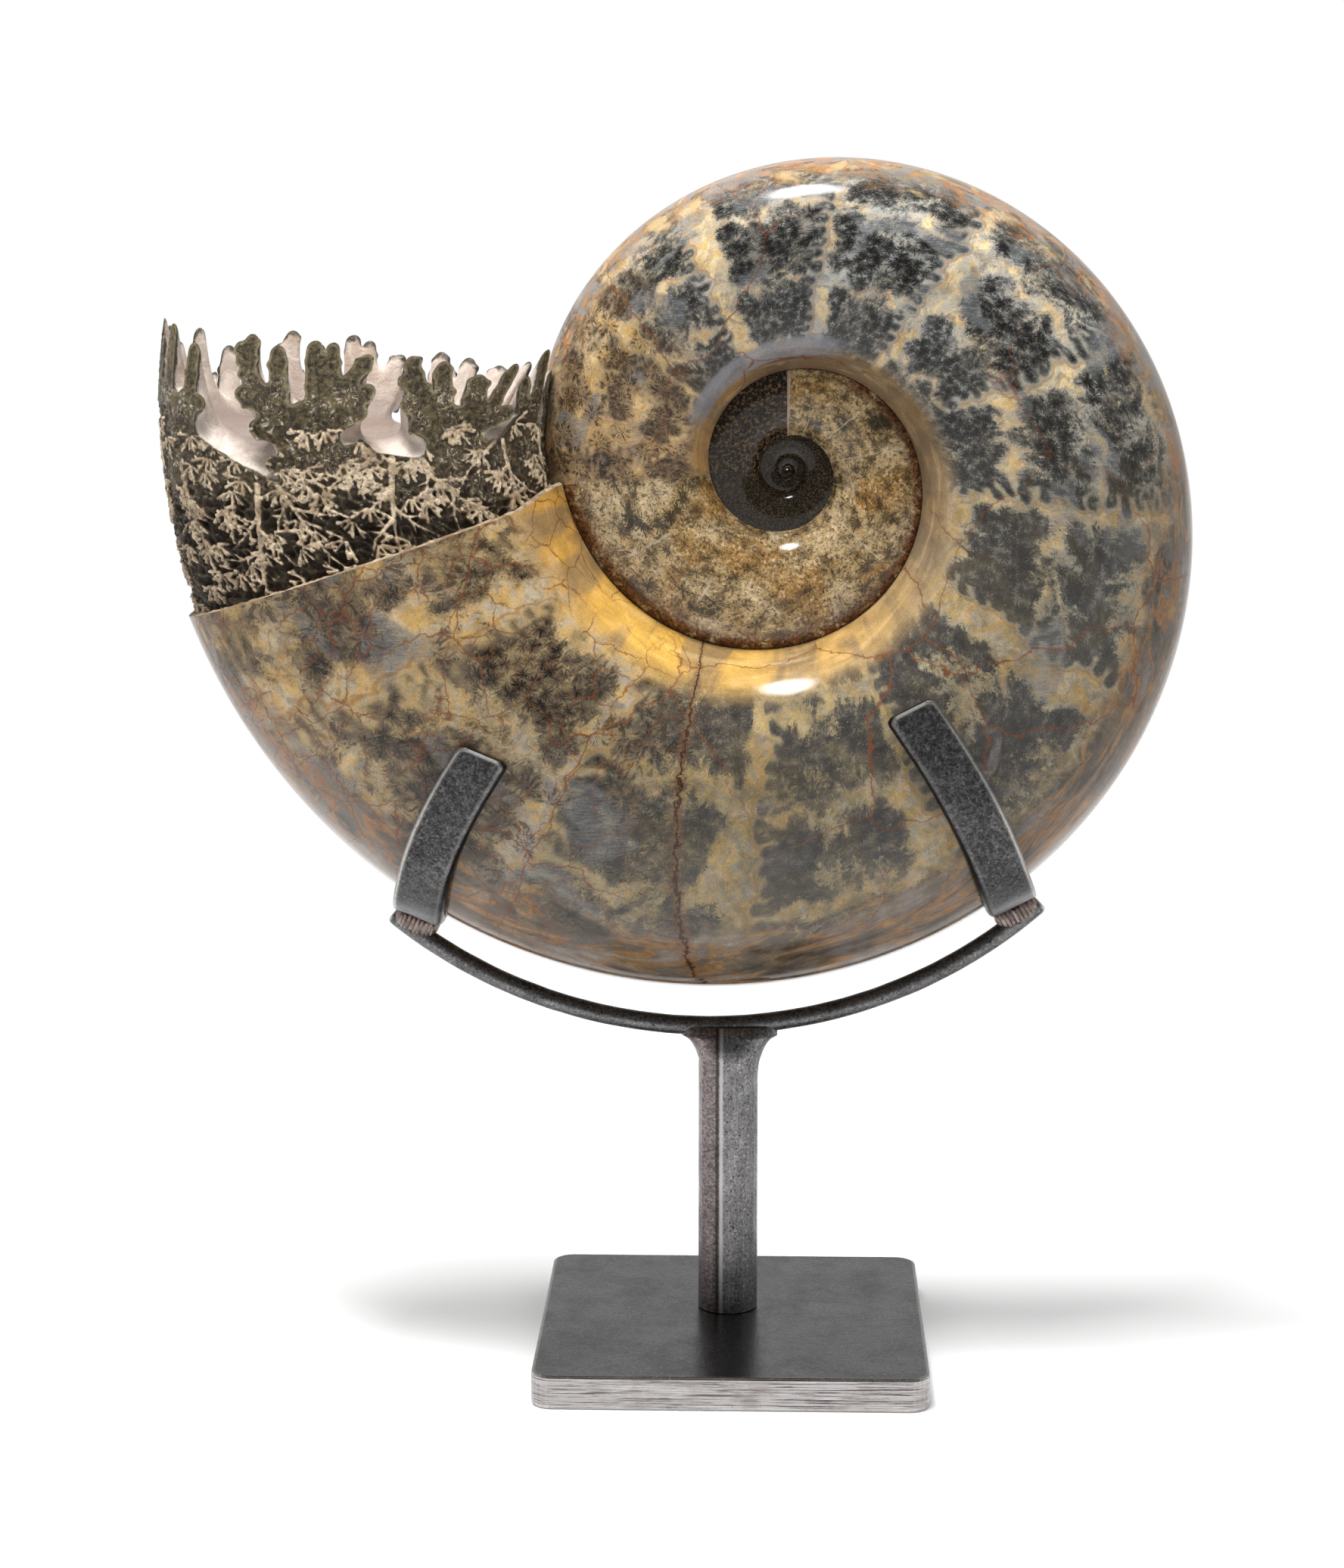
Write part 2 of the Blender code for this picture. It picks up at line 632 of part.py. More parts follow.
def material(name, color, roughness, metallic):
    made = bpy.data.materials.new(name)
    made.use_nodes = True
    shader = made.node_tree.nodes["Principled BSDF"]
    shader.inputs["Base Color"].default_value = (*color, 1.0)
    shader.inputs["Roughness"].default_value = roughness
    shader.inputs["Metallic"].default_value = metallic
    return made


def add_object(name, mesh, collection, holder, look=None, location=(0.0, 0.0, 0.0), lean=0.0):
    """Wrap a bmesh in an object of its own; one with no look only shapes the others."""
    bmesh.ops.recalc_face_normals(mesh, faces=mesh.faces)
    data = bpy.data.meshes.new(name)
    mesh.to_mesh(data)
    mesh.free()
    data.shade_smooth()
    data.set_sharp_from_angle(angle=math.radians(SHARP_ANGLE))
    made = bpy.data.objects.new(name, data)
    collection.objects.link(made)
    made.parent = holder
    made.location = location
    made.rotation_euler.y = lean
    if look:
        data.materials.append(look)
    else:
        made.hide_render = True
        made.display_type = "WIRE"
    return made


def add_holder(name, location, collection):
    """An empty that the pieces of one group are placed from."""
    holder = bpy.data.objects.new(name, None)
    collection.objects.link(holder)
    holder.location = location
    return holder


def combine(target, other, operation):
    """Join another solid to an object, or cut it away."""
    boolean = target.modifiers.new(operation.title(), "BOOLEAN")
    boolean.operation = operation
    boolean.object = other
    boolean.solver = "EXACT"


def soften(target, width, segments):
    bevel = target.modifiers.new("Bevel", "BEVEL")
    bevel.width = width
    bevel.segments = segments
    bevel.limit_method = "ANGLE"
    bevel.angle_limit = math.radians(BEVEL_ANGLE)


def rod_mesh(arc, radius, overhang):
    """Mesh of the bent rod, made from a curve with a round section and closed ends."""
    curve = bpy.data.curves.new("rod_line", "CURVE")
    curve.dimensions = "3D"
    curve.bevel_depth = radius
    curve.bevel_resolution = 2
    curve.use_fill_caps = True
    spline = curve.splines.new("POLY")
    spline.points.add(ROD_STEPS)
    first = arc.spans[0] - overhang / arc.radius
    last = arc.spans[1] + overhang / arc.radius
    for step, point in enumerate(spline.points):
        point.co = (*arc.point(first + (last - first) * step / ROD_STEPS), 1.0)
    holder = bpy.data.objects.new("rod_line", curve)
    bpy.context.scene.collection.objects.link(holder)
    bpy.context.view_layer.update()
    data = bpy.data.meshes.new_from_object(holder.evaluated_get(bpy.context.evaluated_depsgraph_get()))
    bpy.data.objects.remove(holder)
    mesh = bmesh.new()
    mesh.from_mesh(data)
    bmesh.ops.remove_doubles(mesh, verts=mesh.verts, dist=1e-5)
    return mesh


def seat_mesh(depth):
    """Weld that fills the wedge between the rod and the underside of a strap."""
    mesh = bmesh.new()
    bmesh.ops.create_cube(mesh, size=1.0)
    bmesh.ops.scale(mesh, vec=(SEAT_LENGTH, SEAT_WIDTH, depth), verts=mesh.verts)
    return mesh


def remove_everything():
    for made in list(bpy.data.objects):
        bpy.data.objects.remove(made)
    for collection in list(bpy.data.collections):
        bpy.data.collections.remove(collection)


def main():
    remove_everything()
    parts = bpy.data.collections.new("ammonite_on_stand")
    cutters = bpy.data.collections.new("cutters")
    for collection in (parts, cutters):
        bpy.context.scene.collection.children.link(collection)
    stand = add_holder("stand_origin", (0.0, 0.0, 0.0), parts)
    coil = add_holder("coil_centre", COIL_CENTRE, parts)

    ammonite = add_object("ammonite", shell_mesh(), parts, coil,
                          material("polished_fossil", FOSSIL_COLOR, 0.12, 0.0))
    combine(ammonite, add_object("crown_form", crown_mesh(), cutters, coil), "UNION")

    plate = add_object("base_plate", plate_mesh(), parts, stand,
                       material("plate_steel", STEEL_COLOR, 0.42, 1.0), (0.0, 0.0, PLATE_THICKNESS / 2))
    soften(plate, PLATE_EDGE, 2)

    cradles = {name: Cradle(**values) for name, values in CRADLES.items()}
    arc = RodArc(cradles.values())
    post = add_object("post", post_mesh(arc.post_length()), parts, stand,
                      material("post_steel", STEEL_COLOR, 0.38, 1.0),
                      (POST_X, POST_Y, PLATE_THICKNESS + GAP))
    clearance = add_object("rod_clearance", rod_mesh(arc, ROD_RADIUS + GAP, 0.0), cutters, coil)
    combine(post, clearance, "DIFFERENCE")

    bar = add_object("cross_bar", rod_mesh(arc, ROD_RADIUS, ROD_OVERHANG), parts, coil,
                     material("rod_steel", STEEL_COLOR, 0.4, 1.0))
    for (name, cradle), span in zip(cradles.items(), arc.spans):
        strap = add_object(name, strap_mesh(cradle), parts, coil,
                           material(name + "_steel", STEEL_COLOR, 0.35, 1.0), cradle.centre, cradle.lean)
        thicken = strap.modifiers.new("Solidify", "SOLIDIFY")
        thicken.thickness = STRAP_THICKNESS
        thicken.offset = 1.0
        thicken.use_even_offset = True
        soften(strap, STRAP_EDGE, 1)
        top = cradle.underside() - cradle.up * GAP
        rod = arc.point(span)
        seat = add_object(name + "_weld", seat_mesh((top - rod).length), cutters, coil, None,
                          (top + rod) / 2, cradle.lean)
        combine(bar, seat, "UNION")


main()
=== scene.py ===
"""Polished ammonite on a welded steel stand: the detailed pieces, their finishes and the studio.

The coil follows two logarithmic spirals.  Its sutures, and the frilled chamber wall that
stands bare at its open end, are outlines of the same branching fronds.  Places in the
coil are given as a growth angle, 0 where the last whorl crosses the horizontal on its open
side and rising the way the shell grew, and a turn round the section, 0 at the dorsum and
pi at the venter.  Lengths are metres.
"""

import math
import random

import bmesh
import bpy
import numpy as np
from bpy.props import FloatProperty, FloatVectorProperty, PointerProperty
from mathutils import Matrix, Vector, noise
from mathutils.geometry import delaunay_2d_cdt
from mathutils.kdtree import KDTree


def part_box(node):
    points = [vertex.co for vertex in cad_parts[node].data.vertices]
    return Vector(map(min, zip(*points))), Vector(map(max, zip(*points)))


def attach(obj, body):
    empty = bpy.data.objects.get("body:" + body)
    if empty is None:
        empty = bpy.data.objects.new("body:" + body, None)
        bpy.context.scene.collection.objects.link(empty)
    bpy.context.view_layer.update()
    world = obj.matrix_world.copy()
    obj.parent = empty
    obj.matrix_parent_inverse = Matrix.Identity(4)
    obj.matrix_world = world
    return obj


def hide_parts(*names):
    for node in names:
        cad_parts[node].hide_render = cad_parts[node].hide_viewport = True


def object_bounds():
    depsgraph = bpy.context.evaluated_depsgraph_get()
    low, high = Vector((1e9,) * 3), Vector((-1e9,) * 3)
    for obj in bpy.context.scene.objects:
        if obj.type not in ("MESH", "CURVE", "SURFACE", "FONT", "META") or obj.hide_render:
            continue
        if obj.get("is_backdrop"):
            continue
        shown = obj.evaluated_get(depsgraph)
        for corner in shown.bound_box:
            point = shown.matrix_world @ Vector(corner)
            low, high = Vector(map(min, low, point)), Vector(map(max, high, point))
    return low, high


bl_info = {"name": "Ammonite on a stand", "version": (1, 0, 0), "blender": (4, 5, 0),
           "location": "3D View > Sidebar > Ammonite",
           "description": "Builds a polished ammonite with a bare chamber wall, its steel stand "
                          "and a studio",
           "category": "Add Mesh"}

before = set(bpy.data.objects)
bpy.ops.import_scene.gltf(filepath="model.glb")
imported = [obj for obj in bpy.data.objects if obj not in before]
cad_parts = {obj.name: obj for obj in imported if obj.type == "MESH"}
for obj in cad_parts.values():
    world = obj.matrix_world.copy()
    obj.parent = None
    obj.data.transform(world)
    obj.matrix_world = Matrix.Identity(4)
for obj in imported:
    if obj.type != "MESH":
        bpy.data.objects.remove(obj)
CAD_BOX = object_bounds()

MM = 0.001
TAU = 2 * math.pi

# ---- coil ----------------------------------------------------------------------
VENTER_RADIUS = 205.4 * MM        # outer and inner spiral at growth angle 0, and their growth
VENTER_GROWTH = 0.1495            # per radian
VENTER_SAG = 0.0355               # how much further out the rim lies below the centre
DORSUM_RADIUS = 70.1 * MM
DORSUM_GROWTH = 0.1745
THICKNESS_RATIO = 0.78            # of a whorl's section, to its height
FLANK_POWER = 2.25                # 2 is an ellipse; more is boxier
SHELL_END = math.radians(-3.0)    # where the shell ends at its seam
END_SLOPE = 0.333                 # slope and height of the plane that it ends in
END_LEVEL = 17.4 * MM
END_SHEAR = math.radians(60.0)    # how far back the columns start to lean into that plane
LAST_WHORL = (900, 300)           # columns in its turn, rows round its section
LAST_PARTS = ("shell_old_part", "shell_middle_part", "shell_young_part")
# the same for each flank of the earlier whorls, from the last of them inwards
EARLIER_WHORLS = ((420, 56), (280, 30), (180, 16), (110, 9), (70, 6))
TUCK = 0.03                       # how far a flank runs on under the next whorl, in turn
RIM_STEPS = ((0.0, 0.0), (0.5, 0.3), (1.3, 0.5), (2.4, 0.2), (4.0, -3.0))   # inset and lift, mm

# ---- crown -----------------------------------------------------------------------
CROWN_INSET = 1.8 * MM            # how far its wall stands in from the shell's surface
CROWN_TAPER = 0.035               # and how much further in as it rises
CROWN_OVERLAP = 7.0 * MM          # how far it goes down inside the shell
IMPRESSED_GAP = 1.0 * MM          # between the wall and the whorl that it bends round
SEPTUM_CENTRE = 12.0 * MM         # height of the septum's level middle
SMOOTH_PER_DEPTH = 2.0            # how fast the septum's frills fade inwards
SETTLE_SHARE = 0.14               # share of the way in where it comes to its level
# shares of the way in of the septum's rings, and how many points each leaves out
SEPTUM_LAYERS = (0.0, 0.006, 0.014, 0.024, 0.036, 0.05, 0.066, 0.085, 0.107, 0.133, 0.165, 0.205,
                 0.255, 0.32, 0.41, 0.53, 0.68, 0.84)
SEPTUM_THINNING = (1, 1, 1, 1, 1, 1, 1, 2, 2, 2, 4, 4, 4, 8, 8, 8, 16, 16)
SUTURE_POINTS = 3040
SUTURE_ROUNDING = 3
WALL_PITCH = (0.46 * MM, 0.95 * MM)   # spacing of the points inside the wall, in front and behind
EDGE_ROUNDING = 0.5 * MM
WALL_RELIEF = 3.0 * MM            # depth of the pits between the roots
ROOT_SEED = 21
FROND_UNIT = 0.955 * MM
FROND_BASE = -2.1 * MM
# limbs of the fronds on the unrolled wall, in frond units: foot, tip and width
VENTRAL_FROND = (
    (22, 2, 22, 34, 36), (5, 8, 6, 53, 9), (17, 12, 17, 47, 7), (27, 14, 28, 52, 7),
    (39, 12, 42, 46, 7), (36, 24, 48, 27, 6),
)
FIRST_FROND = (
    (86, 2, 85, 29, 23), (79, 22, 66, 33, 8), (68, 30, 63, 38, 7), (64, 37, 60, 46, 5),
    (64, 36, 65, 50, 6), (76, 24, 74, 46, 7), (88, 26, 86, 48, 7), (93, 28, 92, 46, 6),
    (94, 28, 105, 42, 6), (94, 24, 107, 33, 7), (90, 20, 105, 24, 7), (78, 22, 60, 30, 7),
    (80, 16, 65, 19, 8), (82, 8, 70, 6, 6), (92, 8, 106, 13, 7),
)
SECOND_FROND = (
    (134, 6, 134, 27, 24), (126, 22, 120, 34, 8), (121, 32, 117, 43, 6), (122, 30, 114, 36, 5),
    (130, 24, 128, 41, 7), (140, 22, 141, 37, 9), (145, 22, 155, 39, 5), (126, 24, 115, 27, 6),
    (128, 18, 118, 20, 7), (142, 20, 156, 24, 6),
)
DORSAL_FROND = (
    (165, 6, 165, 27, 12), (161, 20, 160, 35, 6), (168, 20, 169, 43, 6), (164, 16, 156, 19, 5),
    (177, 8, 177, 37, 8),
)
FRONDS = VENTRAL_FROND + FIRST_FROND + SECOND_FROND + DORSAL_FROND
# floors of the valleys between the limbs, in frond units
VALLEYS = ((0, 14), (45, 15), (58, 8), (73, 1), (80, 2), (107, 11), (120, 9), (150, 15),
           (157, 22), (171, 18), (183, 16))
BACK_SCALE = 0.93                 # height of the fronds behind, to those in front
TIP_SPREAD = 1.0                  # how far a tip's height varies, in frond units
FROND_SEED = 11
LIMB_TAPER = 0.8                  # width of a limb's tip, to its foot's
FOOT_BULGE = 0.6
KNOB_SHARES = ((0.3, 66.0), (0.62, 54.0))    # place along a limb and lean of its small knobs
KNOB_WIDTH = 2.5 * MM
KNOB_REACH = 0.9 * MM             # how far a knob stands out of its limb
# pale roots that hang from the saddles between the fronds: foot, heading, reach, width
# (frond units and degrees), on the front
ROOTS = (
    (2, 8, -92, 30, 3.0), (34, 6, -84, 26, 2.6), (72, 2, -62, 24, 3.2), (66, 0, -100, 34, 3.2),
    (78, 4, -20, 16, 2.0), (112, 9, -98, 34, 3.4), (106, 9, -150, 20, 2.4), (119, 8, -42, 24, 2.8),
    (151, 14, -80, 26, 2.8), (148, 14, -140, 18, 2.2), (170, 16, -88, 22, 2.4),
)
# sprays of small pale rods in rows under the leaves' middles, in frond units
SPRAY_TOP = 17.0
SPRAY_ROWS = 10
SPRAY_PITCH = (9.5, 8.0)
SPRAY_RODS = 5
SPRAY_END = 182                   # how far round they go

# ---- stand ---------------------------------------------------------------------
GAP = 0.3 * MM
ROD_RADIUS = 3.15 * MM
ROD_LOW_X = -9.4 * MM             # lowest point of the rod's arc
ROD_LOW_Z = 107.8 * MM
ROD_OVERHANG = 8.5 * MM           # past the middle of each strap
STRAP_WIDTH = 17.0 * MM
STRAP_THICKNESS = 3.8 * MM
STRAP_EDGE = 0.8 * MM
GROUND_EDGE = (2.2 * MM, 3.0 * MM)   # width and depth of the wider edge, towards the coil's middle
STRAP_CORNER = 2.5 * MM
STRAP_BOW = 3.4 * MM              # how far an arm bows away from the coil's middle
STRAP_CLEARANCE = 1.3 * GAP
CRADLE_CENTRE = 0.55              # height in a strap's arm of the middle that its U is drawn from
SEAT_LIFT = 2.2 * MM              # between the rod and the strap's underside
# name: growth angle where the strap's middle crosses the venter, lean, reach of its arms
CRADLES = {
    "cradle_left": {"angle": -50.2, "lean": 23.0, "arm": 61.7 * MM},
    "cradle_right": {"angle": -117.7, "lean": -27.2, "arm": 74.5 * MM},
}
STRAP_STEPS = 40
STRAP_COLUMNS = 220
ROD_COLUMNS = 260
ROD_SIDES = 28
ROD_ENDS = (0.82, 0.95, 1.0)      # radius of the rod's last rings, to its own
FILLET_WIDTH = 6.5 * MM           # weld that flares from the post into the rod
FILLET_HEIGHT = 12.0 * MM
FILLET_NARROWING = 0.72           # how far it narrows to the rod, from front to back
FILLET_ROWS = (36, 48)            # rings, and points round each
TUCKED = 0.3 * MM                 # how far it starts inside the post
SEAM_SHARE = 0.4                  # place of the post's ground seam across its front
SHARP_ANGLE = 35.0                # edges that turn by more look sharp
# weld beads: reach to each side of a strap's middle, then places from its underside
BEAD_REACH = 7.5 * MM
BEAD_DEPTH = 2.6 * MM
BEAD_LIFT = -2.2 * MM
BEAD_FLATNESS = 0.9
BEAD_SIDES = 20
BEAD_PITCH = 0.5 * MM             # spacing of its rings
RIPPLE_PITCH = 1.5 * MM

# ---- sutures seen through the polished shell -----------------------------------------
SUTURE_STEP = math.radians(29.3)  # from one suture to the next
SUTURE_FIRST = math.radians(-30.0)
SUTURE_COUNT = 40
SUTURE_KINDS = 4                  # leaf patterns that take turns
SUTURE_RADIUS = 150.0 * MM        # turns growth angles into heights over a suture
LEAF_GIRTH = 138.0 * MM           # how far round from the venter the leaves go
LEAF_WIDTH = (34.0 * MM, 50.0 * MM)
LEAF_DEPTH = (57.0 * MM, 66.0 * MM)
LOBE_PITCH = 16.0 * MM
HAIR_SWEEP = 0.8                  # how far the hairs of a leaf sweep towards its tip
BULB_PITCH = 7.4 * MM
FISSURE_GROWTH = 1.46             # place of the long dark fissure, before the whorl's end
FISSURE_LEAN = -0.0021            # and its slant, per mm round the section
LAST_TURN = (-6.4, 0.0)           # growth angles that the last whorl's colours run between
MAP_PITCH = 0.4 * MM
MAP_REACH = 12.0 * MM             # how far outside a leaf its distance is known
MAP_LOW = -80.0 * MM
MAP_HIGH = 26.0 * MM
BAR_APART = 31.0 * MM             # keeps the places along one bar apart from the next one's
RIVERS_APART = 900.0 * MM

# ---- studio --------------------------------------------------------------------------
FLOOR_REACH = 30.0
# name, place, size, and the setting with the lamp's power
LAMPS = (
    ("lamp_top", (-0.26, -0.07, 1.2), (0.42, 0.32), "key_power"),
    ("lamp_near", (-0.1, -0.32, 1.3), (0.26, 0.3), "near_power"),
    ("lamp_left", (-1.5, -0.9, 0.8), (1.4, 1.6), "side_power"),
    ("lamp_right", (1.5, -0.9, 0.8), (1.4, 1.6), "side_power"),
)
HIGHLIGHT_LAMP = "lamp_near"      # the only one that shows as a reflection
CAMERA_PLACE = (0.010834, -1.068325, 0.371938)
CAMERA_DROP = 0.16815356          # how far it looks down, and to the left, in radians
CAMERA_TURN = 0.02905


# ---- coil ------------------------------------------------------------------------

def venter(angle):
    """Radius of the outer rim."""
    return VENTER_RADIUS * np.exp(VENTER_GROWTH * angle) * (1 - VENTER_SAG * np.sin(angle))


def whorl(angle):
    """Middle radius, half height and half thickness of the whorl's oval."""
    outer = venter(angle)
    inner = DORSUM_RADIUS * np.exp(DORSUM_GROWTH * angle)
    half = (outer - inner) / 2
    return (outer + inner) / 2, half, THICKNESS_RATIO * half


def squared(wave):
    """A sine or cosine, bent so that the oval gets its squarer shoulders."""
    return np.sign(wave) * np.abs(wave) ** (2 / FLANK_POWER)


def oval(angle, turn, inset=0.0):
    """Radius and width of the section at `turn`; the width is negative behind."""
    middle, height, thickness = whorl(angle)
    radius = middle - (height - inset) * squared(np.cos(turn))
    return radius, (thickness - inset) * squared(np.sin(turn))


def oval_level(angle, radius, width):
    """How far out a point of the section is: 1 on the oval, less inside it."""
    middle, height, thickness = whorl(angle)
    return (np.abs((radius - middle) / height) ** FLANK_POWER
            + np.abs(width / thickness) ** FLANK_POWER)


def seam_turn(angle):
    """Where the section meets the whorl that it grew over."""
    low = np.zeros_like(angle)
    high = np.full_like(angle, math.pi / 2)
    for _ in range(36):
        middle = (low + high) / 2
        inside = oval_level(angle - TAU, *oval(angle, middle)) < 1.0
        low = np.where(inside, middle, low)
        high = np.where(inside, high, middle)
    return low


def covered_turn(angle):
    """Where the next whorl's seam lies on this section."""
    radius, width = oval(angle + TAU, seam_turn(angle + TAU))
    middle, height, thickness = whorl(angle)
    inward = (middle - radius) / height
    across = (width / thickness) ** (FLANK_POWER / 2)
    return np.arctan2(across, np.sign(inward) * np.abs(inward) ** (FLANK_POWER / 2))


def place(angle, radius, width):
    """Points from the coil's centre; a positive width is to the front."""
    return np.stack((-radius * np.cos(angle), -width, radius * np.sin(angle)), axis=-1)


def eased(share):
    """A soft step from 0 to 1."""
    share = np.clip(share, 0.0, 1.0)
    return share * share * (3 - 2 * share)


def ramped(value, low, high):
    """A soft step from 0 to 1, as a value goes from low to high."""
    return eased((value - low) / (high - low))


def furthest(high, holds):
    """How far from 0 something still holds."""
    low = 0.0
    for _ in range(24):
        middle = (low + high) / 2
        if holds(middle):
            low = middle
        else:
            high = middle
    return low


def toward(heading):
    """A step of length 1 on the unrolled wall."""
    return Vector((math.cos(heading), math.sin(heading)))


def run_lengths(line):
    """Lengths along a line from its first point to each of its points."""
    steps = np.linalg.norm(np.diff(line, axis=0), axis=1)
    return np.concatenate(([0.0], np.cumsum(steps)))


def end_lean(turn, seam):
    """Growth angle from the shell's end at the seam to its end plane at `turn`."""
    turn = np.minimum(turn, TAU - turn)
    angle = np.full_like(turn, SHELL_END)
    for _ in range(20):
        radius, _ = oval(angle, turn)
        angle = np.arcsin((END_LEVEL - END_SLOPE * radius * np.cos(angle)) / radius)
    return (angle - SHELL_END) * eased((turn - seam) / 0.5)


def coil_centre():
    """The coil's centre, from the rim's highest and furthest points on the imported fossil."""
    low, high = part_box("ammonite")
    angles = np.linspace(-TAU, 0.0, 1441)
    rim = place(angles, venter(angles), 0.0 * angles)
    return Vector((high.x - rim[:, 0].max(), (low.y + high.y) / 2, high.z - rim[:, 2].max()))


CENTRE = coil_centre()


# ---- fronds ------------------------------------------------------------------------

def clear_of_earlier(angle, radius, width):
    """Move points that would lie in the earlier whorl out to just above it."""
    middle, _, _ = whorl(angle - TAU)
    level = oval_level(angle - TAU, radius, width)
    distance = np.hypot(radius - middle, width)
    grow = np.maximum(1.0, level ** (-1 / FLANK_POWER) * (1 + IMPRESSED_GAP / distance))
    return middle + (radius - middle) * grow, width * grow


def crown_section(turn, height):
    """Growth angle, radius and half width of the crown's wall at a height."""
    inset = CROWN_INSET + CROWN_TAPER * (height - END_LEVEL + END_SLOPE * VENTER_RADIUS)
    radius = np.full_like(turn, DORSUM_RADIUS + VENTER_RADIUS) / 2
    for _ in range(6):
        angle = np.arcsin(np.clip(height / radius, -0.9, 0.9))
        radius, width = clear_of_earlier(angle, *oval(angle, turn, inset))
    return angle, radius, width


def crown_points(turn, height, share=0.0, side=1):
    """Points at a share of the way from the wall to the section's middle."""
    angle, radius, width = crown_section(turn, height)
    middle = whorl(angle)[0]
    radius = middle + (radius - middle) * (1 - share)
    width = width * (1 - share)
    height = np.minimum(height, 0.95 * radius)
    return np.stack((-np.sqrt(radius ** 2 - height ** 2), -side * width, height), axis=-1)


def girth_table():
    """Distances round half the section, from the venter, and the turns they lie at."""
    turns = np.linspace(math.pi, 0.0, 400)
    return run_lengths(crown_points(turns, np.full_like(turns, 10.0 * MM))), turns


GIRTH, GIRTH_TURNS = girth_table()
HALF_GIRTH = float(GIRTH[-1])


def wall_points(places, heights, share=0.0):
    """Points of the wall given round the section: places behind the venter are below 0."""
    turn = np.interp(np.abs(places), GIRTH, GIRTH_TURNS)
    side = np.where(places < 0, -1, 1)
    return crown_points(turn, heights, share, side)


def frond_point(place_round, height):
    """A point of the unrolled wall given in frond units."""
    return Vector((place_round, height)) * FROND_UNIT + Vector((0.0, FROND_BASE))


def limb_shape(foot, tip, width, taper=LIMB_TAPER, steps=5):
    """Outline of one limb: a tapered bar with round ends."""
    ahead = (tip - foot).normalized()
    left = Vector((-ahead.y, ahead.x))
    reach = (tip - foot).length
    root = width / 2
    end = root * taper
    turns = [math.pi * step / steps for step in range(steps + 1)]
    points = [foot + ahead * (reach - end + end * math.sin(turn)) + left * end * math.cos(turn)
              for turn in turns]
    points += [foot - ahead * FOOT_BULGE * root * math.sin(turn) - left * root * math.cos(turn)
               for turn in turns]
    return points


def limb_shapes(seed, spread, back_scale):
    """Outlines of all limbs round the section, with their small knobs."""
    draw = random.Random(seed)
    knob_draw = random.Random(seed + 100)
    shapes = []
    for side, scale in ((1, 1.0), (-1, back_scale)):
        for limb in FRONDS:
            foot = frond_point(side * limb[0], scale * limb[1])
            tip = frond_point(side * limb[2], scale * limb[3] + draw.uniform(-spread, spread))
            width = limb[4] * FROND_UNIT
            shapes.append(limb_shape(foot, tip, width))
            for share, lean in KNOB_SHARES:
                for hand in (-1, 1):
                    bend = math.radians(hand * lean + knob_draw.uniform(-12, 12))
                    reach = 0.5 * width + KNOB_REACH * knob_draw.uniform(0.5, 1.5)
                    start = foot.lerp(tip, share + knob_draw.uniform(-0.08, 0.08))
                    ahead = Matrix.Rotation(bend, 2) @ (tip - foot).normalized()
                    shapes.append(limb_shape(start, start + ahead * reach, KNOB_WIDTH, 1.0))
    return shapes


def band_shape(low):
    """The wall below the fronds, whose top edge joins the valley floors."""
    right = [frond_point(*valley) for valley in VALLEYS]
    edge = Vector((HALF_GIRTH, right[-1].y))
    left = [frond_point(-place_round, BACK_SCALE * height)
            for place_round, height in VALLEYS[:0:-1]]
    left.insert(0, Vector((-HALF_GIRTH, edge.y)))
    return [Vector((-HALF_GIRTH, low)), Vector((HALF_GIRTH, low)), edge, *reversed(right),
            *reversed(left)]


def outline_edges(shapes):
    """Edges round overlapping outlines: their points, and what follows each."""
    points = [point for shape in shapes for point in shape]
    starts = np.cumsum([0] + [len(shape) for shape in shapes])
    faces = [list(range(start, end)) for start, end in zip(starts, starts[1:])]
    places, _, triangles, *_ = delaunay_2d_cdt(points, [], faces, 1, 1e-7)
    sides = {(face[i - 1], face[i]) for face in triangles for i in range(3)}
    follow = {}
    for here, there in sides:
        if (there, here) not in sides:
            follow.setdefault(there, []).append(here)
    return places, follow


def walk_from(start, finish, places, follow):
    """Follow an outline, keeping to the same side where two outlines only touch."""
    walk = [start]
    came = Vector((0.0, 1.0))
    while True:
        here = places[walk[-1]]
        ahead = max(follow[walk[-1]], key=lambda i: came.angle_signed(places[i] - here, 0.0))
        came = places[ahead] - here
        walk.append(ahead)
        if ahead == finish:
            return walk


def spaced(line, count):
    """The same line with `count` equal steps."""
    lengths = run_lengths(line)
    marks = np.linspace(0.0, lengths[-1], count + 1)
    return np.stack([np.interp(marks, lengths, line[:, axis]) for axis in (0, 1)], axis=-1)


def suture_line(count, rounding):
    """The frilled edge of the crown as `count` steps round the section, corners rounded."""
    places, follow = outline_edges([band_shape(-20.0 * MM),
                                    *limb_shapes(FROND_SEED, TIP_SPREAD, BACK_SCALE)])
    start = min(follow, key=lambda i: 5 * places[i].x - places[i].y)
    finish = max(follow, key=lambda i: 5 * places[i].x + places[i].y)
    line = spaced(np.array([places[i] for i in walk_from(start, finish, places, follow)]), count)
    for _ in range(rounding):
        line[1:-1] = (line[:-2] + 2 * line[1:-1] + line[2:]) / 4
    return spaced(line, count)


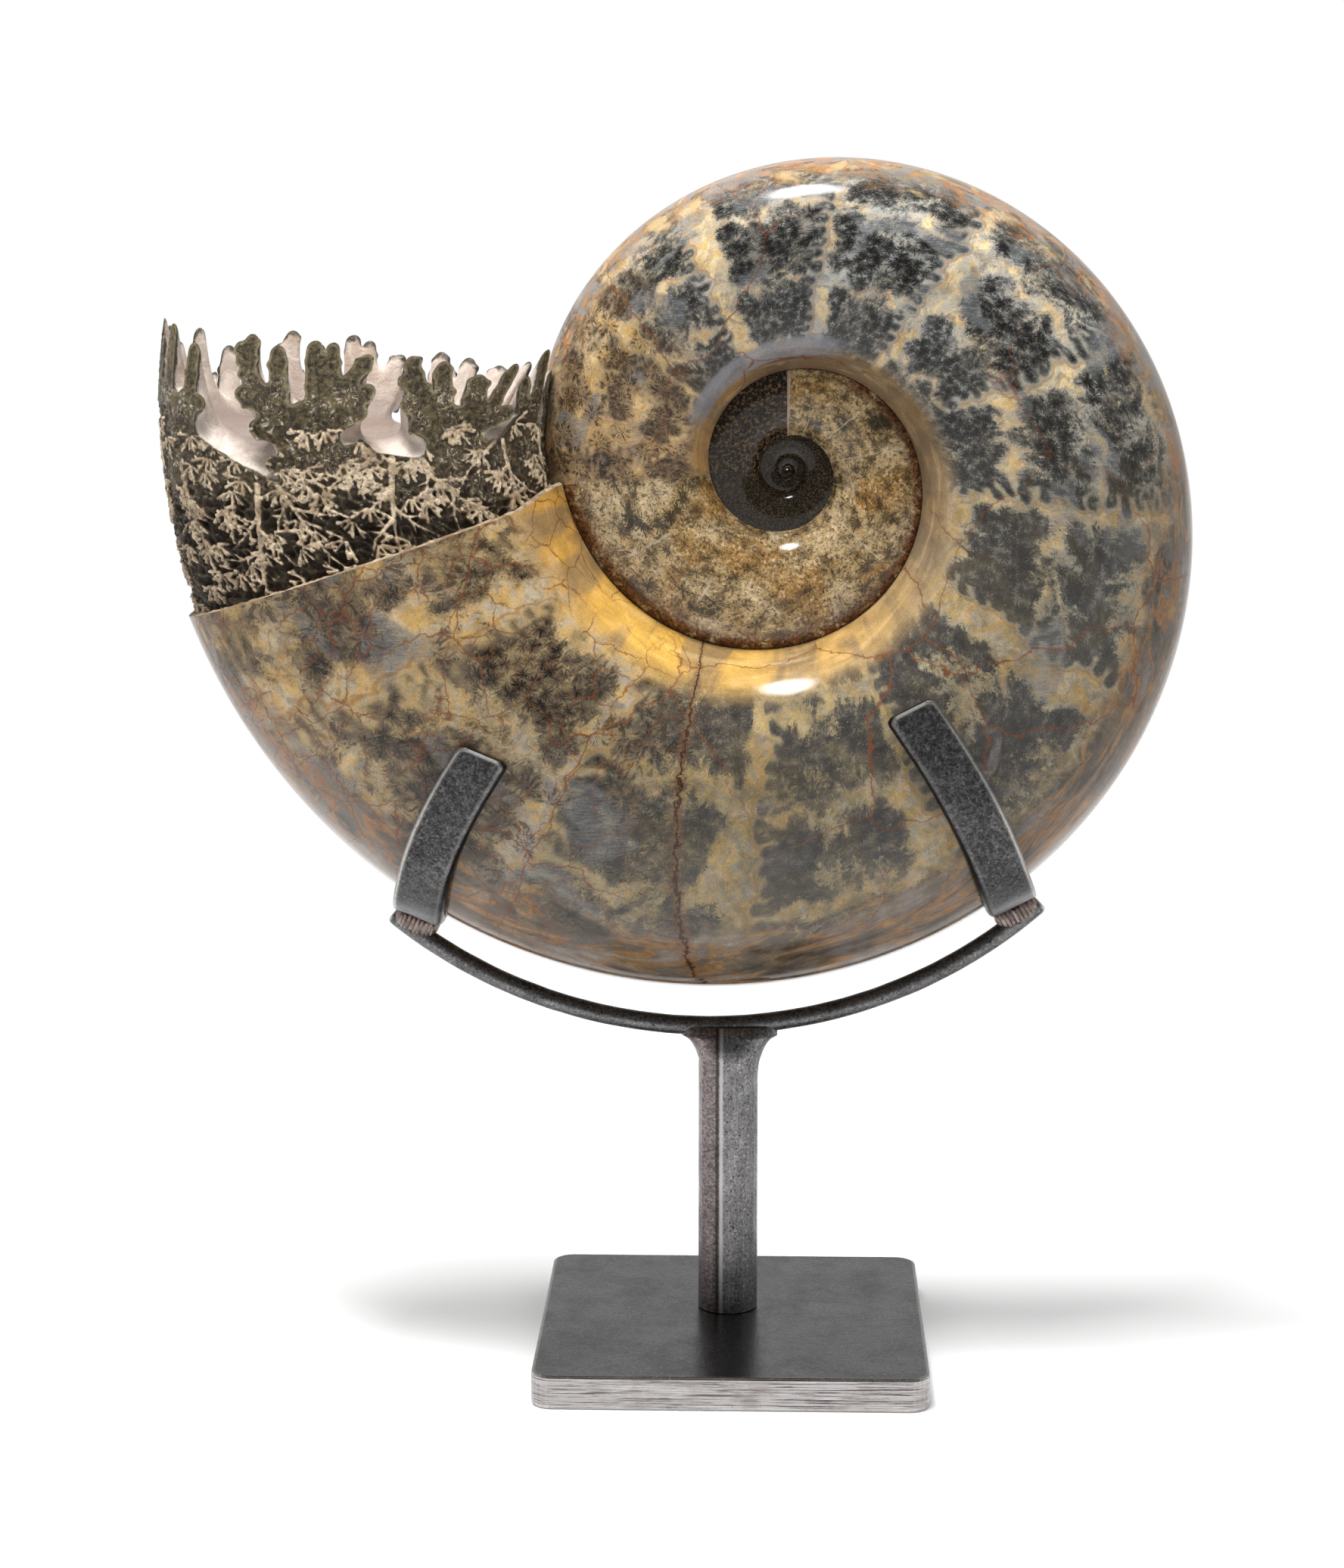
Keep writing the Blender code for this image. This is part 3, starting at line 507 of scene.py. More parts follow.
def faded(line, reach):
    """The suture line with the frills that are shorter than `reach` smoothed away."""
    count = len(line) - 1
    pitch = np.linalg.norm(np.diff(line, axis=0), axis=1).mean()
    trend = np.linspace(-HALF_GIRTH, HALF_GIRTH, count, endpoint=False)
    wave = line[:-1, 0] - trend + 1j * line[:-1, 1]
    tones = TAU * np.fft.fftfreq(count) * reach / pitch
    wave = np.fft.ifft(np.fft.fft(wave) * np.exp(-0.5 * tones ** 2))
    return np.stack((wave.real + trend, wave.imag), axis=-1)


# ---- leaves of the polished shell ----------------------------------------------------------

class LeafMap:
    """Depths inside one chamber's leaves, on a fine grid of the unrolled wall.

    Leaves are bars with round ends, given by foot, tip, width and taper; rivers are bars cut
    out of them again.
    """

    def __init__(self, leaves, rivers):
        self.low = np.array((-HALF_GIRTH - 2 * MAP_REACH, MAP_LOW))
        self.shape = tuple(np.ceil((np.array((HALF_GIRTH + 2 * MAP_REACH, MAP_HIGH)) - self.low)
                                   / MAP_PITCH).astype(int))
        leaf = self.stamped(leaves, 0.0)
        river = self.stamped(rivers, RIVERS_APART)
        cut = -river[0] < leaf[0]
        self.depth = np.where(cut, -river[0], leaf[0])
        self.along = np.where(cut, river[1], leaf[1])

    def stamped(self, bars, start):
        """The greatest depth inside any bar, and the place along that bar."""
        depth = np.full(self.shape, -MAP_REACH)
        along = np.zeros(self.shape)
        for number, (foot, tip, width, taper) in enumerate(bars):
            half = width / 2
            reach = (tip - foot).length
            ahead = np.array((tip - foot) / reach)
            foot = np.array(foot)
            run = reach - half * taper
            ends = np.array((foot, foot + ahead * run))
            first, last = (np.clip((corner - self.low) / MAP_PITCH, 0, self.shape).astype(int)
                           for corner in (ends.min(axis=0) - half - MAP_REACH,
                                          ends.max(axis=0) + half + MAP_REACH))
            region = tuple(slice(a, b) for a, b in zip(first, last))
            x, y = np.meshgrid(*(low + MAP_PITCH * np.arange(part.start, part.stop)
                                 for low, part in zip(self.low, region)), indexing="ij")
            x, y = x - foot[0], y - foot[1]
            forward = x * ahead[0] + y * ahead[1]
            aside = ahead[0] * y - ahead[1] * x
            share = np.clip(forward / run, 0.0, 1.0)
            inside = half * (1 - (1 - taper) * share) - np.hypot(forward - share * run, aside)
            better = inside > depth[region]
            depth[region] = np.where(better, inside, depth[region])
            swept = forward - HAIR_SWEEP * np.abs(aside)
            where = start + number * BAR_APART + np.sign(aside) * swept
            along[region] = np.where(better, where, along[region])
        return depth, along

    def measure(self, spots):
        """Depth inside the leaves and place along the bar, for an array of points."""
        at = (spots - self.low) / MAP_PITCH
        at = np.clip(at, 0.0, np.array(self.shape) - 1.001)
        cell = at.astype(int)
        share = at - cell
        i, j = cell.T
        a, b = share.T
        depth = ((self.depth[i, j] * (1 - a) + self.depth[i + 1, j] * a) * (1 - b)
                 + (self.depth[i, j + 1] * (1 - a) + self.depth[i + 1, j + 1] * a) * b)
        return depth, self.along[i, j]


def river_bars(foot, heading, reach, width, depth, draw):
    """Pale rivers that run into a leaf, branching as they thin out."""
    tip = foot + toward(heading) * reach
    bars = [(foot, tip, width, 0.4)]
    if depth:
        for step in range(3):
            share = 0.34 + 0.22 * step + draw.uniform(-0.07, 0.07)
            hand = 1 if step % 2 else -1
            turned = heading + hand * math.radians(draw.uniform(35, 62))
            bars += river_bars(foot.lerp(tip, share), turned, reach * draw.uniform(0.3, 0.48),
                               width * 0.66, depth - 1, draw)
        bent = heading + math.radians(draw.uniform(-24, 24))
        bars += river_bars(tip, bent, reach * draw.uniform(0.4, 0.7), width * 0.6, depth - 1, draw)
    return bars


def lobe_bars(foot, tip, width, draw):
    """A round lobe of a leaf with small lobes round its end."""
    way = (tip - foot).normalized()
    heading = math.atan2(way.y, way.x)
    end = tip - way * width / 2
    bars = [(foot, tip, 0.8 * width, 1.2)]
    for step in range(-2, 3):
        turned = heading + math.radians(34.0 * step + draw.uniform(-11, 11))
        reach = width * 0.5 + draw.uniform(0.2, 3.2) * MM
        bars.append((end, end + toward(turned) * reach, draw.uniform(3.6, 5.4) * MM, 0.8))
    for hand in (-1, 1):
        side = foot.lerp(end, draw.uniform(0.3, 0.7))
        turned = heading + hand * math.radians(draw.uniform(45, 70))
        reach = width * 0.42 + draw.uniform(0.4, 3.0) * MM
        bars.append((side, side + toward(turned) * reach, draw.uniform(4.0, 6.0) * MM, 0.9))
    return bars


def leaf_map(seed):
    """One chamber's dark leaves round the section, from the suture ahead of them.

    Each leaf fans out backwards from its trunk in round lobes, with narrow gaps between them,
    and ends ahead in a row of bulbs.
    """
    draw = random.Random(seed)
    leaves = []
    rivers = []
    left = -LEAF_GIRTH - 4.0 * MM
    while left < LEAF_GIRTH:
        width = draw.uniform(*LEAF_WIDTH)
        deep = draw.uniform(*LEAF_DEPTH)
        middle = left + width * draw.uniform(0.4, 0.6)
        leaves.append((Vector((middle, -5.0 * MM)), Vector((middle, -0.6 * deep)), 13.0 * MM, 1.0))
        columns = max(2, round(width / LOBE_PITCH))
        rows = max(3, round(deep / LOBE_PITCH))
        for row in range(rows):
            for column in range(columns):
                across = (column + 0.5 + 0.2 * (-1) ** row) / columns
                tip = Vector((left + width * across + draw.uniform(-2.0, 2.0) * MM,
                              -deep * (row + 0.85) / rows + draw.uniform(-2.5, 2.5) * MM))
                foot = Vector((middle + 0.35 * (tip.x - middle),
                               min(tip.y + draw.uniform(1.0, 1.6) * LOBE_PITCH, -5.0 * MM)))
                leaves += lobe_bars(foot, tip, LOBE_PITCH * draw.uniform(0.8, 1.05), draw)
        bulbs = max(3, round(width / BULB_PITCH))
        for step in range(bulbs):
            at = left + width * (step + 0.5) / bulbs
            tip = Vector((at + draw.uniform(-1.0, 1.0) * MM, draw.uniform(3.0, 9.0) * MM))
            foot = Vector((at, tip.y - 8.0 * MM))
            leaves.append((Vector((0.6 * at + 0.4 * middle, foot.y - 12.0 * MM)), foot, 7.0 * MM,
                           0.8))
            leaves.append((foot, tip, BULB_PITCH * draw.uniform(0.6, 0.75), 1.2))
        heading = math.radians(90 + draw.uniform(-12, 12))
        rivers += river_bars(Vector((left + width, -deep + 2.0 * MM)), heading,
                             draw.uniform(0.4, 0.6) * deep, 3.6 * MM, 3, draw)
        left += width
    return LeafMap(leaves, rivers)


def wander(spots, index):
    """Slow bends that make each suture of a kind its own."""
    moved = np.empty_like(spots)
    for i, (x, y) in enumerate(spots / MM):
        wide = noise.noise_vector(Vector((x / 24, y / 24, 3.7 * index)))
        small = noise.noise_vector(Vector((x / 8, y / 8, 9.1 * index)))
        moved[i] = 5.0 * wide[0] + 1.8 * small[0], 5.0 * wide[1] + 1.8 * small[1]
    return moved * MM


def suture_marks(growth, places):
    """Where each point lies in the leaves, at the scale of the last whorl's end.

    `leaf` is the distance inside a leaf's outline, `rise` the height over the suture ahead
    of that leaf, and `along` the place along the outline.
    """
    kinds = [leaf_map(31 + kind) for kind in range(SUTURE_KINDS)]
    draw = random.Random(5)
    shifts = [draw.uniform(-0.03, 0.03) for _ in range(SUTURE_COUNT + 4)]
    number = np.floor((SUTURE_FIRST - growth) / SUTURE_STEP).astype(int)
    leaf = np.full_like(growth, -0.02)
    rise = np.zeros_like(growth)
    along = np.zeros_like(growth)
    for offset in (0, 1):
        for index in range(-2, SUTURE_COUNT):
            chosen = np.flatnonzero(number + offset == index)
            if not len(chosen):
                continue
            at = SUTURE_FIRST - index * SUTURE_STEP + shifts[index + 2]
            heights = SUTURE_RADIUS * (growth[chosen] - at)
            spots = np.stack((places[chosen], heights), axis=-1)
            away, where = kinds[index % SUTURE_KINDS].measure(spots + wander(spots, index))
            better = away > leaf[chosen]
            leaf[chosen[better]] = away[better]
            rise[chosen[better]] = heights[better]
            along[chosen[better]] = where[better] + index * 0.7
    return leaf / MM, rise / MM, along / MM


# ---- meshes --------------------------------------------------------------------------

class Patchwork:
    """Points, faces and point values of one mesh, gathered grid by grid."""

    def __init__(self, *values):
        self.points = []
        self.normals = []
        self.faces = []
        self.values = {name: [] for name in values}
        self.count = 0

    def add_grid(self, points, normals, **values):
        """A grid of quads, facing the way its normals do."""
        rows, columns = points.shape[:2]
        corner = self.count + np.arange(rows * columns).reshape(rows, columns)
        quads = np.stack((corner[:-1, :-1], corner[1:, :-1], corner[1:, 1:], corner[:-1, 1:]),
                         axis=-1).reshape(-1, 4)
        at = rows // 2, columns // 2
        facing = np.cross(points[at] - points[at[0] - 1, at[1]],
                          points[at] - points[at[0], at[1] - 1])
        if facing @ normals[at] < 0:
            quads = quads[:, ::-1]
        self.count += rows * columns
        self.points.append(points.reshape(-1, 3))
        self.normals.append(normals.reshape(-1, 3))
        self.faces.append(quads)
        for name, gathered in self.values.items():
            given = values.get(name, 0.0)
            gathered.append(np.broadcast_to(given, (rows, columns)).reshape(-1))

    def value(self, name):
        """One value on all the points."""
        return np.concatenate(self.values[name])

    def mesh(self, name, **more):
        return solid_mesh(name, np.concatenate(self.points), np.concatenate(self.faces).tolist(),
                          np.concatenate(self.normals),
                          **{value: self.value(value) for value in self.values}, **more)


def solid_mesh(name, points, faces, normals=None, **values):
    """A smooth mesh of points from the coil's centre, with named values on its points."""
    made = bpy.data.meshes.new(name)
    made.from_pydata((points + np.array(CENTRE)).tolist(), [], faces)
    made.validate()
    made.shade_smooth()
    for value, rows in values.items():
        layer = made.attributes.new(value, "FLOAT", "POINT")
        layer.data.foreach_set("value", np.asarray(rows, np.float32))
    if normals is not None:
        made.normals_split_custom_set_from_vertices(normals.tolist())
    made.update()
    return made


def grid_normals(points, inside):
    """Unit normals of a grid of points, pointing away from `inside`."""
    across = np.gradient(points, axis=0)
    along = np.gradient(points, axis=1)
    normal = np.cross(across, along)
    normal /= np.maximum(np.linalg.norm(normal, axis=-1), 1e-12)[..., None]
    middle = points.shape[0] // 2, points.shape[1] // 2
    return normal if normal[middle] @ (points[middle] - inside) > 0 else -normal


def show(name, mesh, look, slot, *nodes):
    """Put a mesh in the scene on the one body, in place of the CAD nodes given."""
    made = bpy.data.objects.new(name, mesh)
    bpy.context.scene.collection.objects.link(made)
    mesh.materials.append(look)
    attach(made, "root")
    if nodes:
        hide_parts(*nodes)
    return made


def section_places(angle, turn):
    """Distance round the section from the venter, at the scale of the crown's section."""
    fine = np.linspace(0.0, math.pi, 240)
    found = np.empty_like(turn)
    side = np.where(turn > math.pi, -1.0, 1.0)
    folded = np.minimum(turn, TAU - turn)
    for i, at in enumerate(angle):
        radius, width = oval(at, fine)
        lengths = np.concatenate(([0.0], np.cumsum(np.hypot(np.diff(radius), np.diff(width)))))
        found[i] = (1 - np.interp(folded[i], fine, lengths) / lengths[-1]) * HALF_GIRTH
    return found * side


def even_turns(angle, first, last, rows):
    """Turns of equally spaced points across each column."""
    share = np.linspace(0.0, 1.0, 160)
    fine = first[:, None] + (last - first)[:, None] * share
    radius, width = oval(angle[:, None], fine)
    lengths = np.cumsum(np.hypot(np.diff(radius, axis=1), np.diff(width, axis=1)), axis=1)
    turns = np.empty((len(angle), rows + 1))
    for i, run in enumerate(lengths):
        run = np.concatenate(([0.0], run))
        turns[i] = np.interp(np.linspace(0.0, run[-1], rows + 1), run, fine[i])
    return turns


def whorl_grid(angle, first, last, rows, lean=None):
    """Points, normals, growth angles, places and turns of one stretch of the coil."""
    turns = even_turns(angle, first, last, rows)
    leaned = np.repeat(angle[:, None], rows + 1, axis=1)
    if lean is not None:
        seam = np.minimum(first, TAU - last)[:, None] + TUCK
        leaned = leaned + lean[:, None] * end_lean(turns, seam)
    points = place(leaned, *oval(leaned, turns))
    middle = len(angle) // 2
    core = place(angle[middle], whorl(angle[middle])[0], 0.0)
    return points, grid_normals(points, core), leaned, section_places(angle, turns), turns


def turn_of(number, columns):
    """Growth angles of one whorl's columns, counted inwards from the last whorl."""
    end = SHELL_END - number * TAU
    return np.linspace(end - TAU, end, columns + 1)


def last_whorl_meshes():
    """The last whorl, in parts that meet without a step, and the crust of its open end."""
    columns, rows = LAST_WHORL
    angle = turn_of(0, columns)
    seam = seam_turn(angle)
    lean = eased(1 + (angle - SHELL_END) / END_SHEAR)
    points, normals, growth, places, turns = whorl_grid(
        angle, seam - TUCK, TAU - seam + TUCK, rows, lean)
    marks = [rows.reshape(growth.shape) for rows in suture_marks(growth.ravel(), places.ravel())]
    values = dict(zip(("growth", "girth", "leaf", "rise", "along"), (growth, places / MM, *marks)))
    part = columns // len(LAST_PARTS)
    for number, name in enumerate(LAST_PARTS):
        span = slice(number * part, (number + 1) * part + 1)
        patches = Patchwork(*values, "crust")
        patches.add_grid(points[span], normals[span],
                         **{key: rows[span] for key, rows in values.items()})
        if number == len(LAST_PARTS) - 1:
            add_rim(patches, growth[-1], turns[-1], {key: rows[-1] for key, rows in values.items()})
        yield patches.mesh(name)


def add_rim(patches, angle, turns, values):
    """The crusted thickness of the shell in its end plane."""
    rows = []
    for inset, lift in RIM_STEPS:
        points = place(angle, *oval(angle, turns, inset * MM))
        rough = np.array([noise.noise(Vector(point) / (1.6 * MM)) for point in points])
        points[:, 2] += (lift + 0.5 * rough * min(inset, 1.0)) * MM
        rows.append(points)
    grid = np.stack(rows)
    upward = np.broadcast_to(np.array((END_SLOPE, 0.0, 1.0)), grid.shape)
    patches.add_grid(grid, upward / np.linalg.norm(upward[0, 0]), crust=1.0,
                     **{key: np.tile(row, (len(RIM_STEPS), 1)) for key, row in values.items()})


def earlier_whorls_mesh():
    """Both flanks of the earlier whorls, in to the first of them."""
    patches = Patchwork("growth", "girth", "outwards", "crust")
    for number, (columns, rows) in enumerate(EARLIER_WHORLS, start=1):
        angle = turn_of(number, columns)
        seam = seam_turn(angle) - TUCK
        covered = covered_turn(angle) + TUCK
        for first, last in ((seam, covered), (TAU - covered, TAU - seam)):
            points, normals, growth, places, _ = whorl_grid(angle, first, last, rows)
            outwards = np.linspace(0.0, 1.0, rows + 1)
            patches.add_grid(points, normals, growth=growth, girth=places / MM,
                             outwards=outwards if first is seam else outwards[::-1])
    leaf, rise, along = suture_marks(patches.value("growth"), patches.value("girth") * MM)
    return patches.mesh("shell_earlier_whorls", leaf=leaf, rise=rise, along=along)


# ---- crown meshes ------------------------------------------------------------------------

def floor_height(places):
    """Where the crown's wall ends, inside the shell below its end plane."""
    turn = np.interp(np.abs(places), GIRTH, GIRTH_TURNS)
    height = np.zeros_like(turn)
    for _ in range(8):
        _, radius, _ = crown_section(turn, height)
        height = END_LEVEL - END_SLOPE * np.sqrt(radius ** 2 - height ** 2) - CROWN_OVERLAP
    return height


def line_tree(line):
    """A tree of the points of a line in the unrolled wall."""
    tree = KDTree(len(line))
    for i, (x, y) in enumerate(line):
        tree.insert((x, y, 0.0), i)
    tree.balance()
    return tree


def wall_patch(line, tree):
    """Triangles of the crown's wall, unrolled, between the suture line and its foot."""
    front, behind = WALL_PITCH
    foot_places = np.concatenate((np.arange(HALF_GIRTH, 0.0, -front),
                                  np.arange(0.0, -HALF_GIRTH, -behind), (-HALF_GIRTH,)))
    foot = np.stack((foot_places, floor_height(foot_places)), axis=-1)
    spots = []
    for pitch, low, high in ((front, 0.0, HALF_GIRTH), (behind, -HALF_GIRTH, 0.0)):
        for row, height in enumerate(np.arange(foot[:, 1].min(), line[:, 1].max(), 0.87 * pitch)):
            across = np.arange(low + pitch * (0.5 + row % 2 / 2), high - pitch / 2, pitch)
            above = height > np.interp(across, foot_places[::-1], foot[::-1, 1]) + 0.6 * pitch
            for place_at in across[above]:
                if tree.find((place_at, height, 0.0))[2] > 0.6 * pitch:
                    spots.append(Vector((place_at, height)))
    outline = np.concatenate((line, foot))
    points = [Vector(point) for point in outline] + spots
    order = list(range(len(outline)))[::-1]
    places, _, triangles, *_ = delaunay_2d_cdt(points, [], [order], 1, 1e-7)
    return np.array(places), triangles


def root_map():
    """Where the pale roots and sprays of rods lie on the crown's wall."""
    draw = random.Random(ROOT_SEED)
    bars = []
    for side, scale in ((1, 1.0), (-1, BACK_SCALE)):
        for place_round, height, heading, reach, width in ROOTS:
            turned = math.radians(heading if side > 0 else 180 - heading)
            bars += river_bars(frond_point(side * place_round, scale * height), turned,
                               0.8 * reach * FROND_UNIT, 0.72 * width * FROND_UNIT, 2, draw)
        for row in range(SPRAY_ROWS):
            place_round = 5.0 + 0.5 * SPRAY_PITCH[0] * (row % 2)
            while place_round < SPRAY_END:
                height = SPRAY_TOP - SPRAY_PITCH[1] * row + draw.uniform(-4, 4)
                middle = frond_point(side * (place_round + draw.uniform(-4, 4)), scale * height)
                turned = math.radians(-90 + draw.uniform(-50, 50))
                place_round += SPRAY_PITCH[0]
                if draw.random() < 0.2:
                    continue
                for step in range(SPRAY_RODS):
                    fan = turned + math.radians(33 * (step - SPRAY_RODS // 2) + draw.uniform(-8, 8))
                    ahead = toward(fan)
                    reach = draw.uniform(3.6, 7.0) * MM
                    tip = middle + ahead * (1.0 * MM + reach)
                    bars.append((middle + ahead * 1.0 * MM, tip, draw.uniform(0.6, 0.85) * MM, 1.5))
                    if reach > 4.2 * MM:
                        aside = fan + draw.choice((-1, 1)) * math.radians(42)
                        fork = middle.lerp(tip, 0.55)
                        bars.append((fork, fork + toward(aside) * 2.2 * MM, 0.65 * MM, 1.4))
    return LeafMap(bars, [])


def bumps(spots, size, seed):
    """Smooth noise at a grain size, for an array of unrolled places."""
    return np.array([noise.noise(Vector((x / size, y / size, seed))) for x, y in spots])


def crown_wall_mesh(line):
    """The outer face of the crown: flat leaves above, roots and pits below."""
    tree = line_tree(line)
    places, triangles = wall_patch(line, tree)
    edge = np.array([tree.find((x, y, 0.0))[2] for x, y in places])
    root, _ = root_map().measure(places)
    ridge = ramped(root, -0.5 * MM, 0.7 * MM)
    rough = bumps(places, 1.3 * MM, 1.0) + 0.8 * bumps(places, 3.4 * MM, 2.0)
    cells = np.abs(bumps(places, 3.2 * MM, 3.0)) * 2.4
    low = ramped(-places[:, 1], -2.0 * MM, 16.0 * MM)
    pit = ramped(root, -7.0 * MM, -1.2 * MM) * (0.35 + 0.65 * low)
    depth = (EDGE_ROUNDING * np.exp(-(edge / (0.6 * MM)) ** 2) + 0.3 * MM * rough
             + WALL_RELIEF * pit * (1 - ridge) * (0.45 + 0.55 * np.clip(cells, 0.0, 1.4)))
    # nothing sinks or stands out where the wall meets the suture line
    depth = np.where(edge < 0.02 * MM, 0.0, depth)
    share = np.clip(depth, -0.5 * MM, 4.0 * MM) / (HALF_GIRTH / math.pi)
    points = wall_points(places[:, 0], places[:, 1], share)
    return solid_mesh("crown_leaves", points, triangles, edge=edge / MM, root=root / MM,
                      depth=depth / MM, girth=places[:, 0] / MM, rise=places[:, 1] / MM)


def septum_mesh(line):
    """The folded chamber wall, from the suture line in to its level middle."""
    depth = HALF_GIRTH / math.pi
    points = []
    faces = []
    shares = []
    rings = []
    for layer, share in enumerate(SEPTUM_LAYERS):
        ring = faded(line, SMOOTH_PER_DEPTH * share * depth)[::SEPTUM_THINNING[layer]]
        settle = 1 - math.exp(-(share / SETTLE_SHARE) ** 1.6)
        heights = ring[:, 1] * (1 - settle) + SEPTUM_CENTRE * settle
        rings.append(range(len(points), len(points) + len(ring)))
        points += wall_points(ring[:, 0], heights, np.full(len(ring), share)).tolist()
        shares += [share] * len(ring)
    points.append((-whorl(0.0)[0], 0.0, SEPTUM_CENTRE))
    shares.append(1.0)
    for outer, inner in zip(rings, rings[1:]):
        thin = len(outer) // len(inner)
        for i, here in enumerate(inner):
            after = inner[(i + 1) % len(inner)]
            run = [outer[(i * thin + step) % len(outer)] for step in range(thin + 1)]
            faces.append((*run, after, here))
    for i, here in enumerate(rings[-1]):
        faces.append((here, rings[-1][(i + 1) % len(rings[-1])], len(points) - 1))
    return solid_mesh("crown_septum", np.array(points), faces, share=shares)


# ---- stand meshes ------------------------------------------------------------------------

def shell_half_width(x, z):
    """Half width of the last whorl over a point of the coil's middle plane, 0 outside it."""
    angle = math.atan2(z, -x)
    if angle > SHELL_END:
        angle -= TAU
    middle, height, thickness = whorl(angle)
    room = 1 - abs((math.hypot(z, x) - middle) / height) ** FLANK_POWER
    return thickness * max(room, 0.0) ** (1 / FLANK_POWER)


class Cradle:
    """Lines of one strap: its lean, and the U that clears the shell over its whole width.

    Its own frame has X across the strap and Z up along it, from a centre in the shell.
    """

    def __init__(self, angle, lean, arm):
        angle = math.radians(angle)
        self.lean = math.radians(lean)
        self.up = Vector((math.sin(self.lean), 0.0, math.cos(self.lean)))
        self.across = Vector((math.cos(self.lean), 0.0, -math.sin(self.lean)))
        self.centre = Vector(place(angle, venter(angle), 0.0)) + self.up * CRADLE_CENTRE * arm
        self.steepest = self.slope_at((1 - CRADLE_CENTRE) * arm)

    def reach(self, slope):
        """Distance from the centre to the shell's surface at a slope, 0 straight to the front."""
        ahead = Vector((0.0, -math.cos(slope), 0.0)) + self.up * math.sin(slope)

        def inside(distance):
            point = start + ahead * distance
            return abs(point.y) < shell_half_width(point.x, point.z)

        reaches = []
        for share in (-0.5, -0.25, 0.0, 0.25, 0.5):
            start = self.centre + self.across * share * STRAP_WIDTH
            reaches.append(furthest(VENTER_RADIUS, inside))
        return max(reaches)

    def slope_at(self, rise):
        """Slope at which the shell's surface lies `rise` above the centre."""
        return furthest(math.pi / 2, lambda slope: self.reach(slope) * math.sin(slope) < rise)

    def profile(self, steps):
        """Depth and height of the U's inner face, from the front arm's tip to the back arm's."""
        arm = []
        widest = 0.0
        for step in range(steps + 1):
            slope = -math.pi / 2 + (self.steepest + math.pi / 2) * step / steps
            reach = self.reach(slope) + STRAP_CLEARANCE
            widest = max(widest, reach * math.cos(slope))
            arm.append((widest, reach * math.sin(slope)))
        return np.array([(-out, rise) for out, rise in arm[:0:-1]] + arm)

    def underside(self):
        """Middle of the strap's lowest face, from the coil's centre."""
        return self.centre - self.up * (self.reach(-math.pi / 2) + STRAP_CLEARANCE
                                        + STRAP_THICKNESS)


def strap_mesh(name, cradle, hand, seed):
    """One bent flat bar, its corners and edges ground round and a little uneven."""
    line = spaced(cradle.profile(STRAP_STEPS), STRAP_COLUMNS)
    ahead = np.gradient(line, axis=0)
    ahead /= np.linalg.norm(ahead, axis=1)[:, None]
    outward = np.stack((-ahead[:, 1], ahead[:, 0]), axis=-1)
    lowest = len(line) // 2
    if outward[lowest, 1] > 0:
        outward = -outward
    lengths = run_lengths(line)
    from_tip = np.minimum(lengths, lengths[-1] - lengths)
    # each tip is rounded at its corners, across the strap's width
    cut = np.clip(1 - from_tip / STRAP_CORNER, 0.0, 1.0)
    half_width = STRAP_WIDTH / 2 - STRAP_CORNER * (1 - np.sqrt(1 - np.minimum(cut, 0.985) ** 2))
    section = edge_section(hand)
    lowest_rise = line[:, 1].min()
    rows = []
    for i, (depth, rise) in enumerate(line):
        ring = []
        bow = math.sin(math.pi * (rise - lowest_rise) / (line[0, 1] - lowest_rise))
        for across, deep, corner in section:
            x = across * half_width[i] - np.sign(across) * corner[0] - hand * STRAP_BOW * bow
            d = STRAP_THICKNESS / 2 * (1 + deep) - np.sign(deep) * corner[1] + 0.4 * MM * bow
            y, z = Vector((depth, rise)) + Vector(outward[i]) * d
            spot = Vector((x, y, z))
            wear = noise.noise(spot / (5 * MM) + Vector((seed, 0, 0))) * 0.14 * MM
            wear += noise.noise(spot / (16 * MM) + Vector((0, seed, 0))) * 0.22 * MM
            y, z = Vector((y, z)) + Vector(outward[i]) * (wear if deep > 0 else 0.0)
            ring.append(cradle.centre + cradle.across * (x + wear * 0.5) + Vector((0, y, 0))
                        + cradle.up * z)
        rows.append(ring)
    # marks the wider ground edge, which the straps' finish paints dark as painted shade
    ground = [float(across == hand and deep > 0 and corner[1] > 0.3 * MM)
              for across, deep, corner in section]
    return tube_mesh(name, np.array(rows), ground=ground)


def edge_section(hand):
    """Corners of a flat bar's section, as shares of its half sizes and offsets inwards.

    The outer edge on one hand is ground off wider than the others.
    """
    section = []
    for across, deep in ((1, 1), (-1, 1), (-1, -1), (1, -1)):
        wide, high = GROUND_EDGE if across == hand and deep > 0 else (STRAP_EDGE, STRAP_EDGE)
        turns = np.linspace(0.0, math.pi / 2, 6)
        for turn in turns if across * deep > 0 else turns[::-1]:
            section.append((across, deep, (wide * (1 - math.cos(turn)),
                                           high * (1 - math.sin(turn)))))
        if across == deep:
            section += [(across * share, deep, (0.0, 0.0)) for share in (0.6, 0.2, -0.2, -0.6)]
    return section


